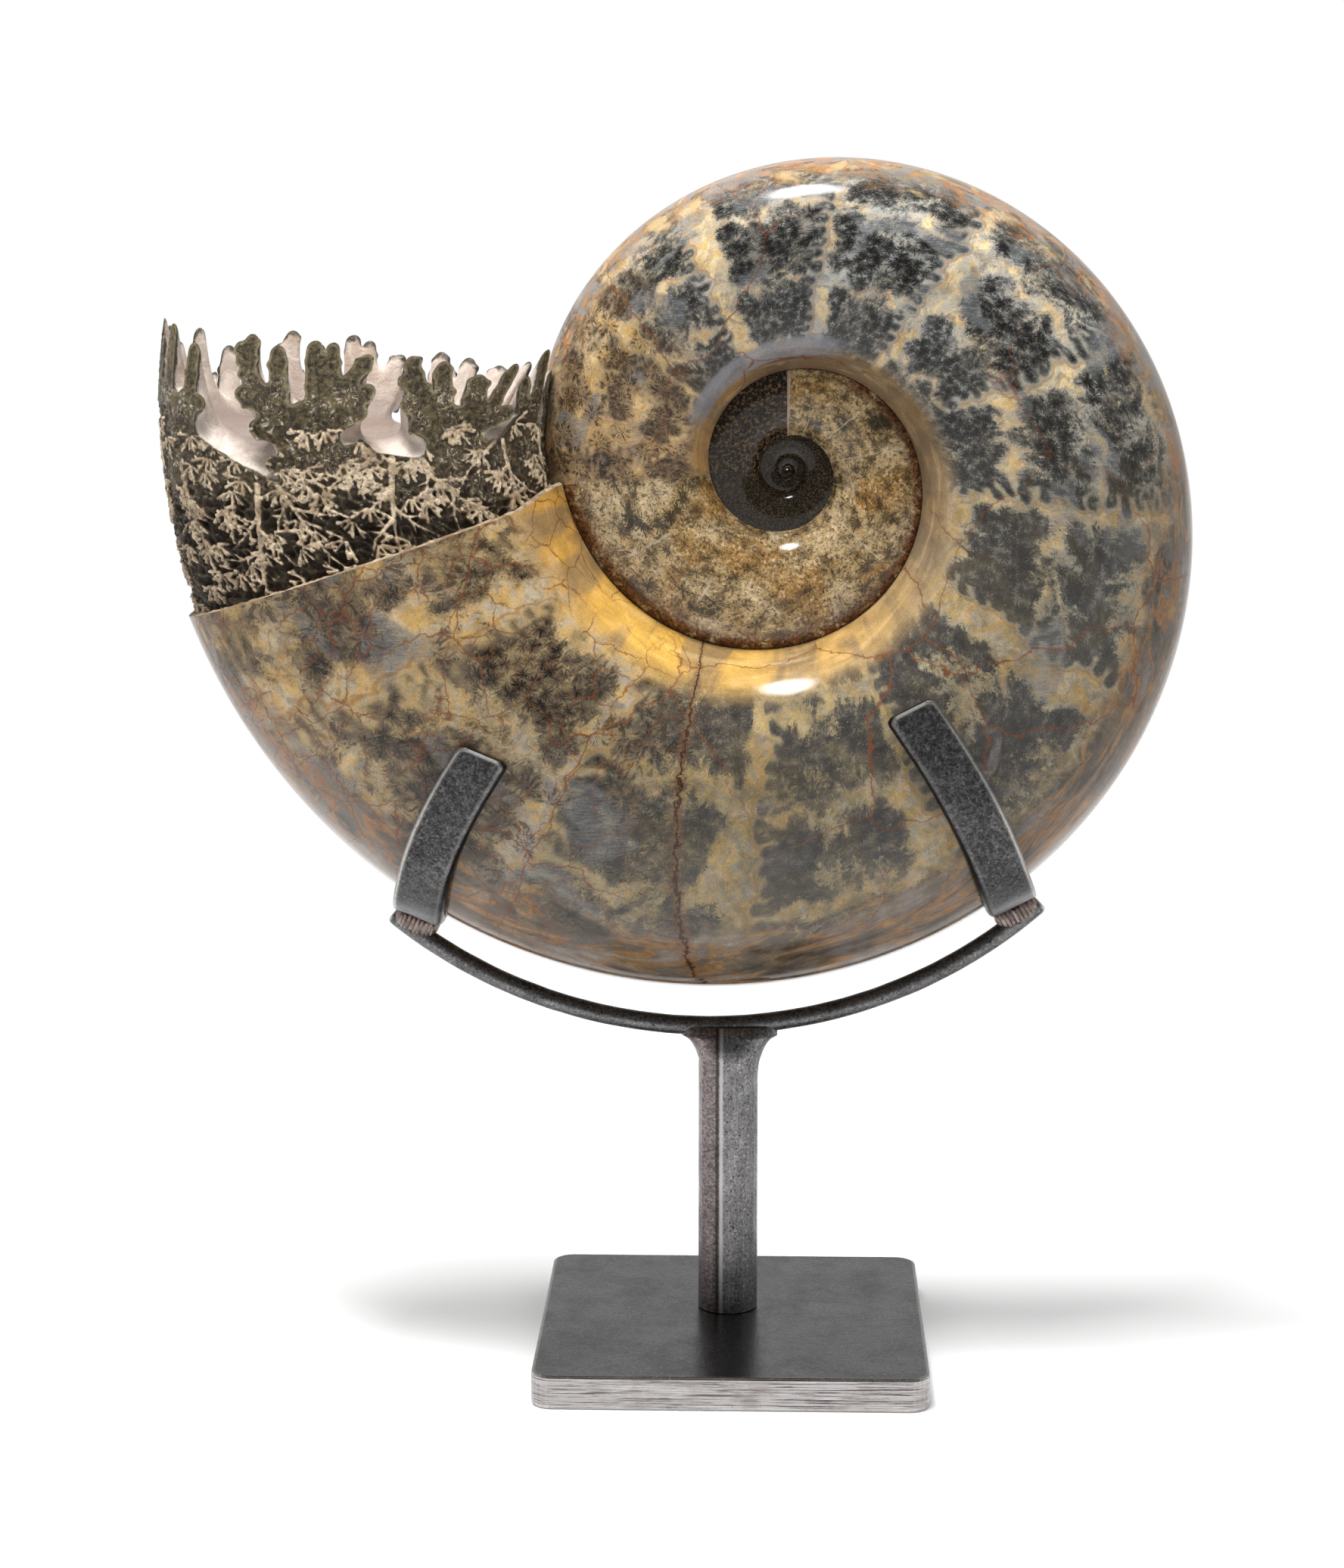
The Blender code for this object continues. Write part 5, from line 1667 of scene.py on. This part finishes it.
def add_haze(wires, on, shade):
    """The hazy lowest part: smooth slate in the leaves, olive gold round them, milky patches."""
    calm = wires.step(on.growth, -3.6, -2.7) * wires.step(on.growth, -0.9, -1.5)
    haze = wires.noise(wires.spot(20.0), 4.0, 0.5, 0.9)
    smoke = wires.noise(wires.spot(5.0), 5.0, 0.6, 0.8)
    slate = wires.ramp(haze, (0.38, (0.048, 0.045, 0.043)), (0.5, (0.068, 0.062, 0.054)),
                       (0.62, (0.1, 0.083, 0.054)))
    shade = wires.mix(calm * wires.step(on.pushed, 0.2, 2.4, 0.0, 0.62), shade, slate)
    gold = wires.ramp(haze, (0.4, (0.33, 0.235, 0.095)), (0.52, (0.12, 0.09, 0.042)),
                      (0.64, (0.28, 0.17, 0.05)))
    veil = calm * wires.step(on.pushed, 1.0, -1.0) * wires.step(smoke, 0.36, 0.6, 0.2, 0.6)
    shade = wires.mix(veil, shade, gold)
    milk = wires.noise(on.places_on(wires, 4.6, 24.0, 3.0), 3.0, 0.5, 0.6)
    milk = wires.step(milk, 0.6, 0.66) * wires.step(on.round_at, 96.0, 80.0)
    milk = milk * wires.step(on.growth, -3.6, -3.0)
    return wires.mix(milk * wires.step(smoke, 0.34, 0.6, 0.2, 0.7), shade, (0.2, 0.178, 0.168))


def shoulder_colour(wires, on, drawn):
    """The smooth umbilical shoulder: its own brown and amber, painted darker above as painted shade
    and paler below as painted light, as the lamp overhead falls on it.
    """
    # the ramp round the coil is partly its own colour, partly painted shade at the top and painted
    # light at the bottom
    plain = wires.ramp(on.turn, (0.0, (0.42, 0.24, 0.09)), (0.12, (0.34, 0.2, 0.08)),
                       (0.24, (0.14, 0.09, 0.05)), (0.42, (0.22, 0.145, 0.075)),
                       (0.6, (0.3, 0.21, 0.11)), (0.72, (0.5, 0.31, 0.1)),
                       (0.85, (0.6, 0.35, 0.07)), (1.0, (0.56, 0.3, 0.06)))
    soft = wires.noise(on.places_on(wires, 4.0, 50.0), 4.0, 0.55, 0.6)
    shoulder = wires.tint(plain, drawn, 0.36, 0.7, (0.1, 0.07, 0.045), 0.3)
    shoulder = wires.tint(shoulder, soft, 0.46, 0.6, (0.15, 0.11, 0.075), 0.65)
    return wires.tint(shoulder, drawn, 0.5, 0.34, (0.52, 0.4, 0.24), 0.25)


def keel_colour(wires, on, drawn):
    """The streaked venter, with rusty threads."""
    keel = wires.tint((0.24, 0.155, 0.07), drawn, 0.4, 0.6, (0.055, 0.045, 0.038))
    blots = wires.noise(wires.spot(13.0), 4.0, 0.6, 1.0)
    keel = wires.tint(keel, blots, 0.43, 0.56, (0.19, 0.175, 0.16), 0.85)
    threads = wires.noise(on.places_on(wires, 3.4, 16.0), 4.0, 0.6, 1.2)
    keel = wires.tint(keel, abs(threads - 0.5), 0.03, 0.008, (0.34, 0.13, 0.03), 0.9)
    keel = wires.tint(keel, blots, 0.44, 0.34, (0.42, 0.31, 0.16), 0.6)
    streak = wires.ramp(threads, (0.36, (0.03, 0.022, 0.016)), (0.48, (0.1, 0.075, 0.055)),
                        (0.52, (0.27, 0.13, 0.035)), (0.55, (0.12, 0.09, 0.07)),
                        (0.68, (0.24, 0.2, 0.17)))
    return wires.mix(on.under * 0.8, keel, streak)


def add_rims(wires, on, shade):
    """The umbilical shoulder with its lilac band, and the venter."""
    drawn = wires.noise(on.places_on(wires, 2.2, 5.5), 4.0, 0.6, 0.5)
    shade = wires.tint(shade, on.round_at, 135.0, 150.0, shoulder_colour(wires, on, drawn))
    lilac = wires.step(on.growth, -4.2, -4.5) * wires.step(on.growth, -5.9, -5.6)
    band = wires.step(on.round_at, 132.0, 136.0) * wires.step(on.round_at, 151.0, 148.0)
    shade = wires.mix(band * lilac * 0.85, shade, (0.2, 0.2, 0.22))
    low = on.under * -20.0 + (on.drift * 40.0 + on.round_at)
    return wires.tint(shade, low, 64.0, 44.0, keel_colour(wires, on, drawn), 0.9)


def early_whorl_colour(wires, on):
    """Tan with dark feathery bursts, then nearly black towards the centre."""
    growth = on.growth
    grit = wires.noise(wires.spot(1.1), 4.0, 0.75, 0.4)
    soft = wires.noise(wires.spot(15.0), 5.0, 0.58, 0.9)
    mottle = wires.noise(wires.spot(4.2), 5.0, 0.68, 0.7)
    tan = wires.tint((0.125, 0.082, 0.034), mottle, 0.38, 0.58, (0.42, 0.29, 0.135))
    pale = wires.step(growth, -9.2, -7.4, 0.35, 1.0)
    light = wires.step(soft + on.clouds, 1.0, 1.2, 0.0, 0.6) * pale
    tan = wires.mix(light, tan, (0.64, 0.5, 0.31))
    tan = wires.tint(tan, on.clouds, 0.48, 0.38, (0.27, 0.135, 0.03), 0.7)
    tan = wires.tint(tan, grit, 0.49, 0.38, (0.04, 0.03, 0.018), 0.88)
    tan = wires.tint(tan, grit, 0.54, 0.66, (0.72, 0.6, 0.42), 0.7)
    wide, twig = wires.bursts(wires.vector(on.girth / 12.0, growth * 5.0), 4.4)
    burst = (twig - 0.5) * 2.0 + (0.32 - wide)
    burst = (grit - 0.5) * 2.6 + ((soft - 0.46) * -2.4 + burst)
    colour = wires.tint(tan, burst, 0.0, 0.16, (0.018, 0.016, 0.012), 0.9)
    # the dark first whorls, behind one pale wall
    dark = wires.tint((0.007, 0.004, 0.002), grit, 0.46, 0.66, (0.15, 0.095, 0.05))
    first = wires.tint((0.006, 0.004, 0.002), on.fine, 0.45, 0.68, (0.075, 0.055, 0.03))
    dark = wires.tint(dark, growth, -12.4, -13.0, first, 0.85)
    colour = wires.tint(colour, growth, -10.97, -11.0, dark)
    wall = abs(growth + 10.985)
    colour = wires.tint(colour, wall, 0.025, 0.01, (0.36, 0.29, 0.23), 0.75)
    # thin pale walls between the later chambers
    walls = wires.math("PINGPONG", growth + on.warp * 0.08, 0.24)
    thin = wires.step(walls, 0.012, 0.004) * wires.step(growth, -10.9, -10.6)
    thin = thin * wires.step(on.clouds, 0.46, 0.56, 0.0, 0.6)
    colour = wires.mix(thin, colour, (0.5, 0.42, 0.32))
    # rust against the next whorl, and painted shade in the crevice where the flank runs under it
    outwards = wires.value("outwards")
    rust = wires.step(outwards, 0.8, 0.96) * wires.step(growth, -10.9, -10.2)
    rusty = wires.tint((0.03, 0.012, 0.007), grit, 0.42, 0.6, (0.17, 0.055, 0.016))
    colour = wires.mix(rust * wires.step(on.warp, 0.36, 0.5), colour, rusty)
    return wires.tint(colour, outwards, 0.955, 0.99, (0.012, 0.007, 0.005), 0.9)


def add_cracks(wires, on, shade, rust):
    """Cracks filled with rust, close together near the open end, and the long fissure."""
    last_whorl = wires.step(on.growth, -6.36, -6.28, 0.0, 0.9)
    near_end = wires.step(on.growth, -1.4, -0.8)
    wide = use_group(wires, "Cracks", size=52.0, width=0.45, cover=0.5)
    close = use_group(wires, "Cracks", size=13.0, width=0.32, cover=0.58)
    shade = wires.mix(wide * last_whorl, shade, rust)
    shade = wires.mix(close * near_end * last_whorl, shade, rust)
    across = on.round_at * FISSURE_LEAN + (on.growth + FISSURE_GROWTH)
    across = abs((on.warp - 0.5) * 9.0 + across * (SUTURE_RADIUS / MM))
    shade = wires.tint(shade, across, 3.6, 0.6, (0.15, 0.075, 0.035), 0.45)
    return wires.tint(shade, across, 0.85, 0.35, (0.04, 0.018, 0.01), 0.95)


def shell_material(props):
    """Polished fossil: dark dendritic leaves in a cream and amber ground."""
    made, wires, shader = new_material("polished_fossil")
    on = ShellFields(wires)
    shade = leaf_colour(wires, on, props)
    shade = add_flat_patches(wires, on, shade)
    shade = add_golden_ferns(wires, on, shade)
    shade = add_haze(wires, on, shade)
    # brassy grains and dark ones
    glint = wires.step(on.fine, 0.6, 0.7) * wires.step(on.patchy, 0.5, 0.62)
    shade = wires.mix(glint * 0.8, shade, (0.5, 0.42, 0.27))
    shade = wires.tint(shade, on.fine, 0.42, 0.32, (0.03, 0.024, 0.02), 0.55)
    shade = add_rims(wires, on, shade)
    shade = wires.tint(shade, on.growth, -6.3, -6.34, early_whorl_colour(wires, on))
    shade = add_cracks(wires, on, shade, props.rust_colour)
    crust = wires.tint((0.42, 0.33, 0.23), on.patchy, 0.4, 0.6, (0.2, 0.14, 0.085))
    shade = wires.mix(on.crust, shade, crust)
    shade = use_group(wires, "Mineral grain", colour=shade, amount=0.18, cloud=0.16)
    wires.put(shader.inputs["Base Color"], shade)
    smooth = wires.step(on.fine, 0.5, 0.8, 0.09, 0.16)
    wires.put(shader.inputs["Roughness"], wires.between(on.crust, smooth, 0.6))
    shader.inputs["Specular IOR Level"].default_value = 0.3
    wires.put(shader.inputs["Normal"], wires.bump(on.fine, 0.06, 0.0002))
    return made


def crown_material(props):
    """The crown's leaves: dark granular stone with a brassy glint, and pale roots."""
    made, wires, shader = new_material("crown_stone")
    root, depth, edge, rise = (wires.value(name) for name in ("root", "depth", "edge", "rise"))
    fine = wires.noise(wires.spot(0.45), 4.0, 0.75)
    grit = wires.noise(wires.spot(1.4), 4.0, 0.72)
    patchy = wires.noise(wires.spot(6.0), 4.0, 0.62, 0.8)
    base = wires.tint((0.018, 0.013, 0.007), grit, 0.4, 0.6, (0.125, 0.092, 0.043))
    base = wires.tint(base, patchy, 0.5, 0.68, (0.2, 0.15, 0.07), 0.6)
    base = wires.tint(base, fine, 0.58, 0.68, (0.46, 0.4, 0.27), 0.85)
    base = wires.tint(base, grit, 0.6, 0.68, (0.36, 0.29, 0.17), 0.6)
    # small pale ferns grown over the stone
    chart = wires.bent(wires.vector(wires.value("girth"), rise), 5.0, 2.0, 0.5)
    apart, hair = wires.bursts(wires.scaled(chart, 1 / 8.0), 3.4)
    fern = wires.step(hair, 0.54, 0.6) * wires.step(apart, 0.56, 0.4)
    fern = fern * wires.step(apart, 0.06, 0.14) * wires.step(rise, 36.0, 24.0)
    base = wires.mix(fern * wires.step(patchy, 0.42, 0.52, 0.0, 0.9), base, (0.6, 0.52, 0.41))
    base = wires.tint(base, patchy, 0.42, 0.34, (0.045, 0.038, 0.03), 0.7)
    # painted highlight: a brighter brassy tone close to the suture edge, where the frond's rim
    # would catch the light
    base = wires.tint(base, edge, 1.3, 0.3, (0.4, 0.33, 0.2), 0.6)
    # pale roots and rods, with dark joints beside them, and painted shade that darkens the pits by
    # their depth
    pushed = (grit - 0.5) * 0.7 + root
    pale = wires.tint((0.84, 0.67, 0.46), patchy, 0.4, 0.64, (0.45, 0.32, 0.19))
    pale = wires.tint(pale, grit, 0.52, 0.38, (0.1, 0.08, 0.065), 0.75)
    base = wires.tint(base, pushed, -1.3, -0.3, (0.045, 0.028, 0.014), 0.6)
    base = wires.tint(base, pushed, -0.1, 0.2, pale, 0.95)
    # painted shade in the pits, darker the deeper they are
    base = wires.tint(base, depth, 0.7, 1.9, (0.02, 0.012, 0.006), 0.85)
    wires.put(shader.inputs["Base Color"], base)
    wires.put(shader.inputs["Roughness"], wires.step(fine, 0.35, 0.7, 0.42, 0.2))
    wires.put(shader.inputs["Metallic"], wires.step(pushed, 0.2, -0.4, 0.0, 0.35))
    wires.put(shader.inputs["Normal"], wires.bump(grit * 1.6 + fine, 0.8, 0.0005))
    return made


def nacre_material(props):
    """The septum: pale pink nacre with a soft lustre, painted darker and browner inwards as painted
    shade, and dark at its rim.
    """
    made, wires, shader = new_material("septum_nacre")
    share = wires.value("share")
    patchy = wires.noise(wires.spot(5.0), 4.0, 0.6, 0.8)
    fine = wires.noise(wires.spot(0.7), 4.0, 0.7)
    cloud = wires.noise(wires.spot(12.0), 3.0, 0.55, 0.5)
    base = wires.tint(props.nacre_colour, patchy, 0.35, 0.65, (0.42, 0.35, 0.3))
    base = wires.tint(base, cloud, 0.5, 0.68, (0.34, 0.25, 0.18), 0.7)
    # painted shade: darker and browner further in from the suture
    base = wires.tint(base, share, 0.04, 0.2, (0.16, 0.115, 0.095), 0.9)
    base = wires.tint(base, fine, 0.42, 0.32, (0.1, 0.075, 0.06), 0.5)
    near_rim = (patchy - 0.5) * 0.05 + share
    base = wires.tint(base, near_rim, 0.022, 0.008, (0.05, 0.042, 0.028))
    wires.put(shader.inputs["Base Color"], base)
    wires.put(shader.inputs["Roughness"], wires.step(patchy, 0.3, 0.7, 0.16, 0.3))
    wires.put(shader.inputs["Normal"], wires.bump(patchy * 2.0 + fine, 0.35, 0.0006))
    return made


def floor_material(props):
    """Plain pale floor: it keeps the object's shadow and is white further out."""
    made, wires, shader = new_material("studio_floor")
    tree = made.node_tree
    tree.nodes.remove(shader)
    soft = tree.nodes.new("ShaderNodeBsdfDiffuse")
    soft.inputs["Color"].default_value = (*props.floor_colour, 1.0)
    near = tree.nodes.new("ShaderNodeEmission")
    far = tree.nodes.new("ShaderNodeEmission")
    # 1 for what the camera or a reflection looks at, 0 for light on the object
    path = tree.nodes.new("ShaderNodeLightPath").outputs
    seen = wires.math("MAXIMUM", path["Is Glossy Ray"], path["Is Transmission Ray"])
    seen = wires.math("MAXIMUM", path["Is Camera Ray"], seen)
    wires.put(near.inputs["Strength"], seen * props.floor_glow)
    wires.put(far.inputs["Strength"], wires.between(seen, props.fill_light, 1.0))
    lifted = tree.nodes.new("ShaderNodeAddShader")
    both = tree.nodes.new("ShaderNodeMixShader")
    reach = wires.node("VectorMath", wires.on_object(), out=1, operation="LENGTH")
    wires.put(both.inputs[0], wires.step(reach, 0.3, 0.75))
    for source, socket in ((soft, lifted.inputs[0]), (near, lifted.inputs[1]),
                           (lifted, both.inputs[1]), (far, both.inputs[2]),
                           (both, tree.nodes["Material Output"].inputs["Surface"])):
        tree.links.new(source.outputs[0], socket)
    return made


def build_world(props):
    """White around the object, a plain level of light, and a dimmer room in front of it."""
    world = bpy.data.worlds.new("studio_world")
    world.use_nodes = True
    wires = Wiring(world.node_tree)
    background = world.node_tree.nodes["Background"]
    background.inputs["Color"].default_value = (1.0, 1.0, 1.0, 1.0)
    toward = wires.part_of(wires.node("TexCoord", out=0), 1)
    mirrored = wires.step(toward, -0.75, 0.1, props.room_light, props.back_light)
    path = world.node_tree.nodes.new("ShaderNodeLightPath").outputs
    level = wires.between(path["Is Glossy Ray"], props.fill_light, mirrored)
    direct = wires.math("MAXIMUM", path["Is Camera Ray"], path["Is Transmission Ray"])
    wires.put(background.inputs["Strength"], wires.between(direct, level, 1.0))
    bpy.context.scene.world = world


# ---- settings --------------------------------------------------------------------------------

def colour(name, description, default):
    """A colour setting."""
    return FloatVectorProperty(name=name, description=description, subtype="COLOR", min=0.0,
                               max=1.0, default=default)


def level(name, description, default, high=1.0):
    """A setting that goes from 0 to a highest value."""
    return FloatProperty(name=name, description=description, min=0.0, max=high, default=default)


def power(name, description, default):
    """A lamp's power."""
    return FloatProperty(name=name, description=description, unit="POWER", min=0.0,
                         default=default)


class AmmoniteFossilSettings(bpy.types.PropertyGroup):
    """Colours of the fossil."""

    leaf_colour: colour("Leaves", "Dark dendritic leaves in the polished shell",
                        (0.022, 0.021, 0.019))
    cream_colour: colour("Cream", "Palest part of the ground between the leaves",
                         (0.62, 0.48, 0.27))
    peach_colour: colour("Peach", "Ground of the oldest part of the last whorl", (0.56, 0.4, 0.2))
    rust_colour: colour("Rust", "Filling of the thin cracks", (0.15, 0.045, 0.014))
    tan_colour: colour("Tan", "Middle part of the ground between the leaves", (0.42, 0.3, 0.14))
    amber_colour: colour("Amber", "Amber clouds and the rings round the bulbs",
                         (0.52, 0.31, 0.085))
    nacre_colour: colour("Nacre", "Bare septum of the crown", (0.58, 0.49, 0.42))


class AmmoniteStandSettings(bpy.types.PropertyGroup):
    """Finish of the steel stand."""

    steel_colour: colour("Steel", "Dark skin of the steel", (0.088, 0.086, 0.086))
    worn_colour: colour("Worn edge", "Bare steel where the edges are rubbed", (0.55, 0.53, 0.5))
    weld_colour: colour("Weld", "Heat tint of the welds", (0.3, 0.245, 0.225))
    bead_radius: FloatProperty(
        name="Weld bead", description="Half width of the weld beads at the straps",
        subtype="DISTANCE", unit="LENGTH", min=0.0005, max=0.006, default=0.0037)


class AmmoniteStudioSettings(bpy.types.PropertyGroup):
    """Light, floor and camera."""

    key_power: power("Key lamp", "Power of the large lamp above", 14.5)
    near_power: power("Near lamp", "Power of the small lamp that makes the highlights", 8.0)
    side_power: power("Side lamps", "Power of the lamps at the sides", 5.0)
    fill_light: level("Fill", "Strength of the light from all round", 0.5, 2.0)
    room_light: level("Room", "Brightness of the room in front, in reflections", 0.2)
    back_light: level("Back", "Brightness of the room behind, in reflections", 0.7)
    floor_colour: colour("Floor", "Colour of the floor", (0.86, 0.86, 0.86))
    floor_glow: level("Floor lift", "White added to the floor where it is seen", 0.17)
    lens: FloatProperty(name="Lens", description="Focal length of the camera on a 36 mm sensor",
                        subtype="DISTANCE_CAMERA", min=10.0, default=76.383)


# ---- operators ---------------------------------------------------------------------------------

class AMMONITE_OT_shell(bpy.types.Operator):
    """Build the polished coil"""

    bl_idname = "ammonite.shell"
    bl_label = "Shell"

    def execute(self, context):
        look = shell_material(context.scene.ammonite_fossil)
        for mesh in last_whorl_meshes():
            show(mesh.name, mesh, look, "fossil", "ammonite")
        mesh = earlier_whorls_mesh()
        show(mesh.name, mesh, look, "fossil", "ammonite")
        return {"FINISHED"}


class AMMONITE_OT_crown(bpy.types.Operator):
    """Build the bare chamber wall at the open end"""

    bl_idname = "ammonite.crown"
    bl_label = "Crown"

    def execute(self, context):
        props = context.scene.ammonite_fossil
        line = suture_line(SUTURE_POINTS, SUTURE_ROUNDING)
        show("crown_leaves", crown_wall_mesh(line), crown_material(props), "fossil", "ammonite")
        show("crown_septum", septum_mesh(line), nacre_material(props), "fossil", "ammonite")
        return {"FINISHED"}


class AMMONITE_OT_cradles(bpy.types.Operator):
    """Build the two bent straps that hold the shell"""

    bl_idname = "ammonite.cradles"
    bl_label = "Cradles"

    def execute(self, context):
        look = steel_material("strap_dark_steel", context.scene.ammonite_stand, 0.55,
                              (0.9, 0.9, 0.5), mottled=True)
        for seed, (name, values) in enumerate(CRADLES.items()):
            hand = 1 if values["lean"] > 0 else -1
            mesh = strap_mesh(name + "_strap", Cradle(**values), hand, 3.0 * seed)
            show(name + "_strap", mesh, look, "strap_steel", name)
        return {"FINISHED"}


class AMMONITE_OT_bar(bpy.types.Operator):
    """Build the bent rod under the straps and the welds that join them"""

    bl_idname = "ammonite.bar"
    bl_label = "Cross bar"

    def execute(self, context):
        props = context.scene.ammonite_stand
        arc = RodArc([Cradle(**values) for values in CRADLES.values()])
        show("rod", rod_mesh(arc), steel_material("rod_dark_steel", props, 0.8, (0.2, 1.0, 1.0)),
             "rod_steel", "cross_bar")
        look = weld_material(props)
        for number, values in enumerate(CRADLES.values()):
            cradle = Cradle(**values)
            reach = cradle.across * BEAD_REACH
            for side, where in ((-1, "front"), (1, "back")):
                middle = (cradle.underside() + Vector((0.0, side * BEAD_DEPTH, 0.0))
                          + cradle.up * BEAD_LIFT)
                bead = bead_mesh(f"weld_{number}_{where}", middle - reach, middle + reach,
                                 props.bead_radius, 7.0 * number + side)
                show(bead.name, bead, look, "rod_steel", "cross_bar")
        return {"FINISHED"}


class AMMONITE_OT_base(bpy.types.Operator):
    """Finish the plate and the post"""

    bl_idname = "ammonite.base"
    bl_label = "Base"

    def execute(self, context):
        props = context.scene.ammonite_stand
        low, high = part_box("post")
        seam = low.x + SEAM_SHARE * (high.x - low.x)
        post_look = steel_material("post_dark_steel", props, 1.25, (1.3, 1.3, 0.08), seam=seam)
        plate_look = steel_material("plate_dark_steel", props, 0.6, (0.2, 1.0, 1.0), 0.14, True)
        for node, look in (("base_plate", plate_look), ("post", post_look)):
            for holder in bpy.data.objects[node].material_slots:
                holder.material = look
        arc = RodArc([Cradle(**values) for values in CRADLES.values()])
        show("post_fillet", fillet_mesh(arc), post_look, "post_steel")
        return {"FINISHED"}


class AMMONITE_OT_studio(bpy.types.Operator):
    """Set up the floor, the lamps and the camera"""

    bl_idname = "ammonite.studio"
    bl_label = "Studio"

    def execute(self, context):
        props = context.scene.ammonite_studio
        low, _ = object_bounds()
        mesh = bpy.data.meshes.new("floor")
        mesh.from_pydata([(x * FLOOR_REACH, y * FLOOR_REACH, 0.0)
                          for x, y in ((-1, -1), (1, -1), (1, 1), (-1, 1))], [], [(0, 1, 2, 3)])
        floor = bpy.data.objects.new("floor", mesh)
        floor.location.z = low[2] - 0.1 * MM
        mesh.materials.append(floor_material(props))
        context.scene.collection.objects.link(floor)
        floor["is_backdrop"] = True
        build_world(props)
        for name, place_at, size, setting in LAMPS:
            lamp = bpy.data.lights.new(name, "AREA")
            lamp.shape = "ELLIPSE"
            lamp.size, lamp.size_y = size
            lamp.energy = getattr(props, setting)
            held = bpy.data.objects.new(name, lamp)
            held.visible_glossy = name == HIGHLIGHT_LAMP
            held.location = place_at
            held.rotation_euler = (Vector(place_at) - CENTRE).to_track_quat("Z", "Y").to_euler()
            context.scene.collection.objects.link(held)
        camera = bpy.data.cameras.new("camera")
        camera.lens = props.lens
        camera.clip_end = 100.0
        held = bpy.data.objects.new("camera", camera)
        held.location = CAMERA_PLACE
        held.rotation_euler = (math.pi / 2 - CAMERA_DROP, 0.0, CAMERA_TURN)
        context.scene.collection.objects.link(held)
        context.scene.camera = held
        context.scene.view_settings.view_transform = "Standard"
        return {"FINISHED"}


class AMMONITE_PT_panel(bpy.types.Panel):
    """Lists the pieces and their settings"""

    bl_idname = "AMMONITE_PT_panel"
    bl_label = "Ammonite on a stand"
    bl_space_type = "VIEW_3D"
    bl_region_type = "UI"
    bl_category = "Ammonite"

    def draw(self, context):
        for settings in ("ammonite_fossil", "ammonite_stand", "ammonite_studio"):
            box = self.layout.box()
            group = getattr(context.scene, settings)
            for name in group.__annotations__:
                box.prop(group, name)
        for operator in OPERATORS:
            self.layout.operator(operator.bl_idname)


OPERATORS = (AMMONITE_OT_shell, AMMONITE_OT_crown, AMMONITE_OT_cradles, AMMONITE_OT_bar,
             AMMONITE_OT_base, AMMONITE_OT_studio)
SETTINGS = {"ammonite_fossil": AmmoniteFossilSettings, "ammonite_stand": AmmoniteStandSettings,
            "ammonite_studio": AmmoniteStudioSettings}


def register():
    """Register the classes and give the scene its settings."""
    for group in (*SETTINGS.values(), *OPERATORS, AMMONITE_PT_panel):
        bpy.utils.register_class(group)
    for name, group in SETTINGS.items():
        setattr(bpy.types.Scene, name, PointerProperty(type=group))


def unregister():
    """Take them away again."""
    for name in SETTINGS:
        delattr(bpy.types.Scene, name)
    for group in (AMMONITE_PT_panel, *reversed(OPERATORS), *SETTINGS.values()):
        bpy.utils.unregister_class(group)


def write_sizes():
    """The solid model's box and the finished model's, gathered as plain numbers and not written
    anywhere.
    """
    sizes = {name: [[float(value) for value in corner] for corner in box]
             for name, box in (("cad", CAD_BOX), ("visual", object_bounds()))}


def main():
    """Build everything in order."""
    register()
    bpy.ops.ammonite.shell()
    bpy.ops.ammonite.crown()
    bpy.ops.ammonite.cradles()
    bpy.ops.ammonite.bar()
    bpy.ops.ammonite.base()
    bpy.ops.ammonite.studio()
    write_sizes()


if __name__ == "__main__":
    main()
